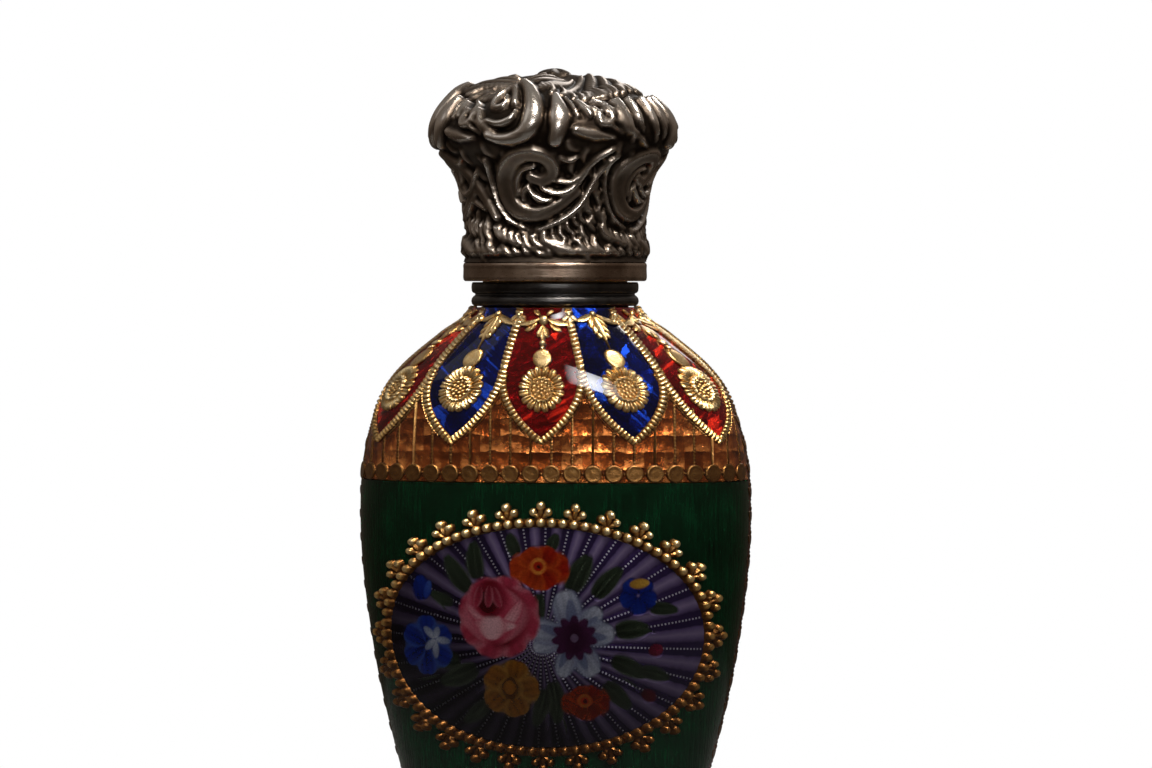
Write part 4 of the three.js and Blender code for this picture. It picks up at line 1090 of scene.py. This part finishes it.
blackened = worn_metal("blackened metal", (0.03, 0.028, 0.027), (0.1, 0.094, 0.09), 0.32, 300, 0.6)
moulded("moulded_foot", [
    (-1.8, 0), (0.5, 0), (0.5, 0.54), (0.2, 0.9), (0.5, 1.26), (0.4, FOOT_RING_HEIGHT),
    (-1.8, FOOT_RING_HEIGHT), (-1.8, 0)], 0.12, blackened, "blackened_metal", "foot_ring", plan=foot_plan)
bm = bmesh.new()
bmesh.ops.create_circle(bm, cap_ends=True, segments=96, radius=1)
set_places(bm, foot_plan(np.arctan2(places(bm)[:, 0], -places(bm)[:, 1]), -0.1, FOOT_RING_HEIGHT))
raised = bmesh.ops.extrude_face_region(bm, geom=bm.faces[:])["geom"]
bmesh.ops.translate(bm, verts=[part for part in raised if isinstance(part, bmesh.types.BMVert)],
                    vec=(0, 0, FOOT_HEIGHT - FOOT_RING_HEIGHT))
bmesh.ops.recalc_face_normals(bm, faces=bm.faces)
finished_piece("flat_base", bm, gilt_metal, "gilt_metal", ["base_plate"])

# Neck: a plain sleeve for the cap to push on to, a turned mouth with the stopper's bore, and a
# blackened collar of two rolls that covers the top of the enamel.
polished_gilt = worn_metal("polished gilt", (0.5, 0.33, 0.12), (0.8, 0.58, 0.26), 0.16, 320)
moulded("neck_sleeve", [
    (6.8, NECK_HEIGHT), (7.6, NECK_HEIGHT), (7.6, 79.5), (6.8, 79.5), (6.8, NECK_HEIGHT)], 0.25,
    polished_gilt, "gilt_metal", "neck_tube")
moulded("turned_mouth", [
    (3.3, 68), (4.3, 68), (4.3, 76.5), (6.7, 76.5), (6.7, 79.5), (6.2, 80), (3.7, 80), (3.3, 79.6),
    (3.3, 68)], 0.1, polished_gilt, "gilt_metal", "neck_mouth")
moulded("rolled_collar", [
    (7.7, NECK_HEIGHT), (8.5, NECK_HEIGHT), (8.72, 71.5), (8.8, 71.8), (8.74, 72.1), (8.55, 72.35),
    (8.38, 72.45), (8.38, 72.6), (8.6, 72.68), (8.74, 72.85), (8.78, 73.2), (8.76, 73.6), (8.66, 73.8),
    (7.7, 73.8), (7.7, NECK_HEIGHT)], 0.08, blackened, "blackened_metal", "neck_collar", crease=50)

# Stopper: clear glass, turned with a flat head and a ground plug that tapers into the mouth. It
# lifts out once the cap is off.
PLUG_TOP = 80
stopper_glass, tree, shader = new_finish("stopper glass", {"Transmission Weight": 1.0, "IOR": 1.52})
place = add_node(tree, "TexCoord").outputs["Object"]
ground_off = ranged(part_of(place, "Z"), (PLUG_TOP - 0.1) / 1000, (PLUG_TOP + 0.1) / 1000, 1.0, 0.0)
speckle = noise(place, 4000.0, 2.0)
fill(shader, {
    "Roughness": maths("MULTIPLY_ADD", ground_off, 0.45, maths("MULTIPLY", speckle, 0.06)),
    "Base Color": ramp(speckle, [(0.3, (0.93, 0.97, 0.95)), (0.7, (0.98, 1, 0.99))])})
add_relief(shader, maths("MULTIPLY", speckle, ground_off), 0.3, 0.00003)
moulded("glass_stopper", [
    (0, 71), (2.45, 71), (2.85, 71.4), (3.2, PLUG_TOP), (3.4, 80.1), (4.9, 80.1), (4.9, 81.1), (3.2, 81.3),
    (2.2, 81.9), (2.2, 82.7), (3.0, 83.8), (5.0, 84.8), (5.0, 86.6), (4.2, 87.2), (0, 87.2)], 0.22,
    stopper_glass, "stopper_glass", "stopper", body="stopper", crease=60)

# Cap band and liner: a plain silver ring at the cap's lower edge, and a smooth gilt sleeve inside
# that slides on the neck.
silver_band = worn_metal("silver band", (0.22, 0.145, 0.1), (0.56, 0.42, 0.32), 0.3, 240)
moulded("plain_band", [
    (8.6, 73.9), (9.42, 73.9), (9.6, 74.02), (9.65, 74.3), (9.62, 75.2), (9.65, 75.55), (9.58, 75.75),
    (9.45, 75.9), (8.5, 75.9), (8.5, 74.02), (8.6, 73.9)], 0.06, silver_band, "raised_silver", "cap_band",
    body="cap", crease=40)
moulded("sliding_liner", [
    (7.75, 74), (8.35, 74), (8.35, 79.8), (8.5, 79.8), (8.5, 80.4), (7.75, 80.4), (7.75, 74)], 0.1,
    polished_gilt, "gilt_metal", "cap_liner", body="cap")

# Cap shell: sheet silver raised and chased all over, a waisted drum under an overhanging, folded
# dome. A design of scrolls, milled ribbons, plumes and lobes comes five times round it.
CAP_REPEATS = 5
CAP_AROUND, CAP_ROWS = 440, 200
CAP_TURN = math.radians(-8.5)
CAP_FLOOR = -0.3
CAP_SEAT = 75.9
STROKE_RADIUS, LEAST_RADIUS = 10.2, 7
silhouette = [
    (9.6, CAP_SEAT), (9.65, 76.6), (9.6, 77.5), (9.3, 78.7), (9.2, 80.2), (9.4, 82), (9.7, 84), (10.2, 85.4),
    (11.1, 86.5), (12.0, 87.5), (12.5, 88.4), (12.65, 89.5), (12.5, 90.4), (11.9, 91.4), (10.9, 92.3),
    (9.4, 93.3), (7.2, 94.2), (4.4, 95.0), (2.2, 95.45), (0, 95.6)]


def soft_line(points, rounds=3):
    """A smooth line drawn through the middle of its points' spans."""
    line = np.array(points, float)
    for _ in range(rounds):
        near, far = line[:-1] * 0.75 + line[1:] * 0.25, line[:-1] * 0.25 + line[1:] * 0.75
        line = np.concatenate([line[:1], np.stack([near, far], axis=1).reshape(-1, 2), line[-1:]])
    return line


line = soft_line(silhouette)
line_runs = np.r_[0, np.cumsum(np.hypot(*np.diff(line, axis=0).T))]
rows = np.linspace(0, line_runs[-1], CAP_ROWS + 1)
row_reach, row_height = np.interp(rows, line_runs, line[:, 0]), np.interp(rows, line_runs, line[:, 1])
turn_step = 2 * math.pi / CAP_AROUND
relief = np.full((CAP_AROUND, CAP_ROWS + 1), CAP_FLOOR)


def stroke_window(path, reach):
    """The part of the cap's grid near a path: its indices, distances from the path, the share of
    the path gone by at the nearest point, and the path's length."""
    first, last = path.min(axis=0), path.max(axis=0)
    aside = reach / LEAST_RADIUS
    columns = np.arange(math.floor((first[0] - aside) / turn_step), math.ceil((last[0] + aside) / turn_step))
    levels = np.flatnonzero((rows > first[1] - reach) & (rows < last[1] + reach))
    across, run = columns[:, None] * turn_step, rows[levels][None, :]
    size = row_reach[levels][None, :]
    best, along, gone = np.full((len(columns), len(levels)), 1e9), np.zeros((len(columns), len(levels))), 0.0
    for (x0, y0), (x1, y1) in zip(path[:-1], path[1:]):
        bx, by = (x1 - x0) * size, y1 - y0
        ax, ay = (across - x0) * size, run - y0
        t = np.clip((ax * bx + ay * by) / np.maximum(bx * bx + by * by, 1e-9), 0, 1)
        distance = np.hypot(ax - t * bx, ay - t * by)
        span = math.hypot((x1 - x0) * STROKE_RADIUS, y1 - y0)
        along = np.where(distance < best, gone + t * span, along)
        best = np.minimum(best, distance)
        gone += span
    return np.ix_(columns % CAP_AROUND, levels), best, along / gone, gone


def place_stroke(repeat, points):
    """Turns (mm aside at the drum, height) into (turn, run along the cap's profile)."""
    start = repeat * 2 * math.pi / CAP_REPEATS
    return soft_line([(start + x / STROKE_RADIUS, np.interp(z, row_height, rows)) for x, z in points])


def raised_roll(repeat, points, wide, tall, milled=0.0, pitch=0.5, hollow=0.0):
    """A raised roll along a path, smooth or milled across. Wide is half its width at the start,
    the middle and the end."""
    window, distance, share, length = stroke_window(place_stroke(repeat, points), max(wide))
    edge = distance / np.interp(share, (0, 0.5, 1), wide)
    roll = np.sqrt(np.clip(1 - edge ** 2, 0, 1)) - hollow * np.clip(1 - (edge / 0.65) ** 2, 0, 1)
    roll = roll * (1 - milled * (0.5 - 0.5 * np.cos(2 * math.pi * share * length / pitch)))
    relief[window] = np.where(edge < 1, np.maximum(relief[window], CAP_FLOOR + (tall - CAP_FLOOR) * roll),
                              relief[window])


def sunk_gutter(repeat, points, wide, deep):
    window, distance, _, _ = stroke_window(place_stroke(repeat, points), wide)
    relief[window] -= deep * np.clip(1 - (distance / wide) ** 2, 0, 1) ** 1.5


def plumes(repeat, points, count, length, lean, curl, wide, tall):
    """A fringe of narrow leaves that hang from a path, each curled to its point."""
    start = soft_line(points)
    for number, step in enumerate(np.linspace(0, len(start) - 1, count)):
        x, z = [np.interp(step, range(len(start)), start[:, axis]) for axis in (0, 1)]
        reach = length * (0.85 + 0.15 * math.sin(2.3 * number))
        raised_roll(repeat, [(x, z), (x + reach * 0.5 * math.sin(lean), z - reach * 0.5 * math.cos(lean)),
                             (x + reach * math.sin(lean + curl), z - reach * math.cos(lean + curl))],
                    (wide * 0.8, wide, 0.08), tall + 0.05 * math.sin(1.7 * number))


for repeat in range(CAP_REPEATS):
    for number in range(46):
        x = -6.4 + 12.8 * ((number * 0.618) % 1)
        z = 76.4 + 11.2 * ((number + 0.5) / 46)
        plumes(repeat, [(x, z + 0.6), (x + 0.01, z + 0.6)], 1, 1.7, 0.5 * math.sin(number), 0.5, 0.42, 0.02)
    raised_roll(repeat, [
        (0.3, 84.7), (1.3, 84.2), (2.3, 84.5), (2.8, 85.4), (2.3, 86.4), (1.2, 87.0), (-0.4, 86.9),
        (-1.8, 86.0), (-2.6, 84.7), (-2.6, 83.1), (-2.0, 81.7), (-0.8, 80.9), (0.8, 80.7), (2.3, 81.1),
        (3.8, 82.0), (5.4, 83.1)], (0.6, 1.25, 0.5), 0.62, hollow=0.34)
    raised_roll(repeat, [(-1.2, 82.9), (-1.25, 84.4), (-0.5, 85.5), (0.8, 85.8)], (0.3, 0.45, 0.3), 0.5)
    raised_roll(repeat, [(-0.6, 82.3), (-0.6, 83.3), (0.1, 83.9)], (0.3, 0.4, 0.25), 0.42)
    raised_roll(repeat, [(0.1, 83.4), (0.7, 82.6), (1.6, 82.2), (2.6, 82.3)], (0.3, 0.5, 0.2), 0.56)
    raised_roll(repeat, [(1.5, 83.5), (2.7, 82.9), (4.3, 83.1), (5.5, 84.0), (6.3, 85.2)],
                (0.3, 0.5, 0.25), 0.5)
    raised_roll(repeat, [(-4.4, 86.4), (-4.5, 84.4), (-4.1, 82.4), (-3.2, 80.8), (-1.9, 79.8), (-0.6, 79.4)],
                (0.3, 0.28, 0.16), 0.46)
    raised_roll(repeat, [(3.4, 86.6), (4.2, 86.2), (5.0, 86.6)], (0.2, 0.4, 0.2), 0.3)
    if repeat < CAP_REPEATS - 1:
        raised_roll(repeat, [(1.2, 79.2), (2.8, 79.8), (4.3, 80.6), (5.7, 81.6), (6.6, 83.1), (7.2, 84.4),
                             (7.9, 85.6), (9.0, 86.8)], (0.3, 0.5, 0.35), 0.5, milled=0.3, pitch=0.45)
        raised_roll(repeat, [(2.9, 84.3), (4.2, 84.0), (5.4, 84.5), (6.2, 85.5), (7.0, 86.6), (8.4, 87.5)],
                    (0.3, 0.46, 0.3), 0.48, milled=0.3, pitch=0.42)
        sunk_gutter(repeat, [(-1.2, 79.6), (1.2, 80.2), (3.6, 81.4), (5.2, 82.9), (6.3, 84.4), (7.4, 85.9),
                             (8.6, 87.1)], 0.75, 0.22)
        plumes(repeat, [(1.5, 78.8), (2.9, 79.2), (4.3, 80.0), (5.6, 80.9), (6.6, 82.2)],
               9, 1.8, -0.1, 0.75, 0.3, 0.34)
        plumes(repeat, [(3.4, 77.9), (4.8, 78.6), (6.2, 79.6), (7.2, 80.8)], 6, 1.7, 0.0, 0.6, 0.28, 0.26)
        plumes(repeat, [(7.5, 84.4), (7.9, 83.4), (8.3, 82.0), (8.9, 80.6)], 6, 2.2, -0.35, 0.5, 0.32, 0.28)
    else:
        raised_roll(repeat, [(2.0, 87.4), (3.6, 85.8), (5.6, 84.0), (7.2, 82.2), (8.5, 80.4)],
                    (0.7, 0.8, 0.35), 0.5, hollow=0.3)
        raised_roll(repeat, [(0.6, 85.2), (2.4, 83.6), (4.6, 82.4), (6.8, 81.4)], (0.5, 0.6, 0.3), 0.44,
                    hollow=0.2)
        plumes(repeat, [(1.0, 81.0), (3.0, 80.4), (5.0, 80.0), (7.0, 79.8)], 9, 2.2, 0.0, 0.4, 0.34, 0.3)
    raised_roll(repeat, [(1.6, 78.0), (3.2, 77.5), (5.0, 76.9)], (0.5, 0.8, 0.35), 0.32)
    plumes(repeat, [(-4.6, 79.6), (-3.4, 79.3), (-1.6, 78.6), (0.4, 78.6)], 9, 2.3, 0.35, 0.4, 0.3, 0.3)
    plumes(repeat, [(5.2, 78.2), (7.6, 77.8)], 5, 1.7, 0.5, 0.3, 0.28, 0.28)
    plumes(repeat, [(-6.2, 77.3), (6.2, 77.3)], 18, 1.3, 0.6, 0.4, 0.26, 0.24)

    if repeat != 1:
        raised_roll(repeat, [
            (-2.0, 92.6), (-1.6, 92.0), (-2.3, 91.5), (-3.3, 91.9), (-3.4, 92.9), (-2.4, 93.5),
            (-1.2, 93.1), (-0.8, 91.9)], (0.35, 0.4, 0.5), 0.45)
        raised_roll(repeat, [(-0.9, 93.6), (0.4, 93.0), (1.1, 91.6), (0.9, 89.9), (0.0, 88.7), (-1.6, 88.4),
                             (-3.0, 88.9)], (0.6, 1.25, 0.5), 0.72)
        raised_roll(repeat, [(-3.2, 90.4), (-2.0, 89.9), (-0.8, 90.4), (-0.5, 91.2)], (0.3, 0.5, 0.3), 0.55)
    else:
        plumes(repeat, [(-4.0, 92.4), (1.4, 92.4)], 6, 4.4, 0.1, 0.1, 0.5, 0.5)
    raised_roll(repeat, [(3.0, 92.6), (3.3, 91.2), (3.2, 89.6), (2.9, 88.3)], (0.6, 1.3, 0.8), 0.68)
    raised_roll(repeat, [(3.9, 92.9), (4.6, 91.9), (4.9, 90.8)], (0.16, 0.24, 0.14), 0.5)
    raised_roll(repeat, [(5.0, 92.6), (5.6, 91.8), (6.0, 90.9)], (0.3, 0.6, 0.4), 0.5)
    raised_roll(repeat, [
        (6.7, 92.6), (7.7, 92.2), (8.1, 91.0), (7.6, 89.9), (6.7, 90.0), (6.6, 90.9), (7.1, 91.3)],
        (0.3, 0.42, 0.3), 0.55)
    raised_roll(repeat, [(4.6, 89.4), (6.0, 88.9), (8.2, 88.6)], (0.5, 0.7, 0.15), 0.4, hollow=0.2)
    plumes(repeat, [(-6.6, 91.8), (-4.4, 91.6)], 5, 3.8, 0.45, 0.3, 0.34, 0.42)
    plumes(repeat, [(-4.2, 90.2), (-1.6, 88.6)], 5, 1.6, 0.5, 0.4, 0.26, 0.3)
    for fold, (aside, size) in enumerate(((-1.6, 0.45), (0.8, 0.6), (3.6, 0.42), (6.4, 0.5), (8.9, 0.4))):
        raised_roll(repeat, [(aside, 93.2), (aside + 1.2, 93.9), (aside + 3.4, 94.6), (aside + 7.0, 95.1)],
                    (size, size * 1.2, 0.25), 0.05 + 0.12 * (fold % 2), milled=0.35 * (fold % 2), pitch=0.6)
    plumes(repeat, [(-4.4, 93.2), (8.0, 93.2)], 16, 1.0, 2.6, 0.5, 0.4, 0.1)


def blurred(field, rounds):
    for _ in range(rounds):
        field = (field + np.roll(field, 1, axis=0) + np.roll(field, -1, axis=0)) / 3
        field[:, 1:-1] = (field[:, 1:-1] + field[:, 2:] + field[:, :-2]) / 3
    return field


relief = blurred(relief, 1)
chasing = relief - blurred(relief, 12) + 0.22 * (relief - relief.mean())
turns = np.arange(CAP_AROUND) * turn_step
folds = np.interp(row_reach, (0, 4.2, 7.4, 9.8, 11.5, 12.8), (0, 0.4, 0.65, 0.55, 0.25, 0))
folds = folds * (row_height > 89)
boss = 0.62 * np.clip(1 - (row_reach / 1.9) ** 2, 0, 1) ** 0.6
fade = np.clip(rows / 0.5, 0, 1) * np.clip(row_reach / 3.5, 0, 1)
fade = fade * np.interp(row_reach, (10.5, 12.4), (1, 0.86))
relief = (relief + 0.1) * fade + np.outer(np.cos(CAP_REPEATS * turns), folds) + boss

raised_silver, tree, shader = new_finish("raised silver", {"Metallic": 1.0})
place = add_node(tree, "TexCoord").outputs["Object"]
hairs = noise(scaled(place, (1, 1, 0.4)), 1500.0, 4.0, 0.7)
polish = maths("ADD", maths("MULTIPLY", stored(tree, "chasing", "Fac"), 1.6),
               maths("MULTIPLY_ADD", noise(place, 220.0, 5.0, 0.6), 0.5, 0.06))
fill(shader, {
    "Base Color": ramp(polish, [(0.02, (0.03, 0.021, 0.015)), (0.3, (0.16, 0.122, 0.093)),
                                (0.55, (0.48, 0.4, 0.33)), (0.9, (0.92, 0.85, 0.77))]),
    "Roughness": ranged(polish, 0.1, 0.8, 0.42, 0.22)})
add_relief(shader, hairs, 0.35, 0.00008)

bm, grid = new_grid(CAP_AROUND, CAP_ROWS)
column = np.rint((grid[:, 0] + 1) / 2 * CAP_AROUND).astype(int) % CAP_AROUND
row = np.rint((grid[:, 1] + 1) / 2 * CAP_ROWS).astype(int)
out = np.stack([np.gradient(row_height), -np.gradient(row_reach)])
out /= np.hypot(*out)
out[:, -1] = (0, 1)
raised = np.where(row == CAP_ROWS, boss[-1], relief[column, row])
set_places(bm, round_plan(CAP_TURN + turns[column], row_reach[row] + out[0][row] * raised,
                          row_height[row] + out[1][row] * raised))
chasing_layer = bm.verts.layers.float.new("chasing")
for vert, depth in zip(bm.verts, chasing[column, row]):
    vert[chasing_layer] = depth
bmesh.ops.remove_doubles(bm, verts=bm.verts, dist=1e-4)
edges = open_rim(bm.verts)
for reach, height in ((9.42, CAP_SEAT), (8.6, CAP_SEAT), (8.6, 84)):
    grown, edges = extruded(bm, edges)
    for vert in grown:
        size = reach / math.hypot(vert.co.x, vert.co.y)
        vert.co = (vert.co.x * size, vert.co.y * size, height)
        vert[chasing_layer] = 0.0
bmesh.ops.holes_fill(bm, edges=edges)
bmesh.ops.recalc_face_normals(bm, faces=bm.faces)
finished_piece("raised_cap", bm, raised_silver, "raised_silver", ["cap_shell"], body="cap", crease=60)
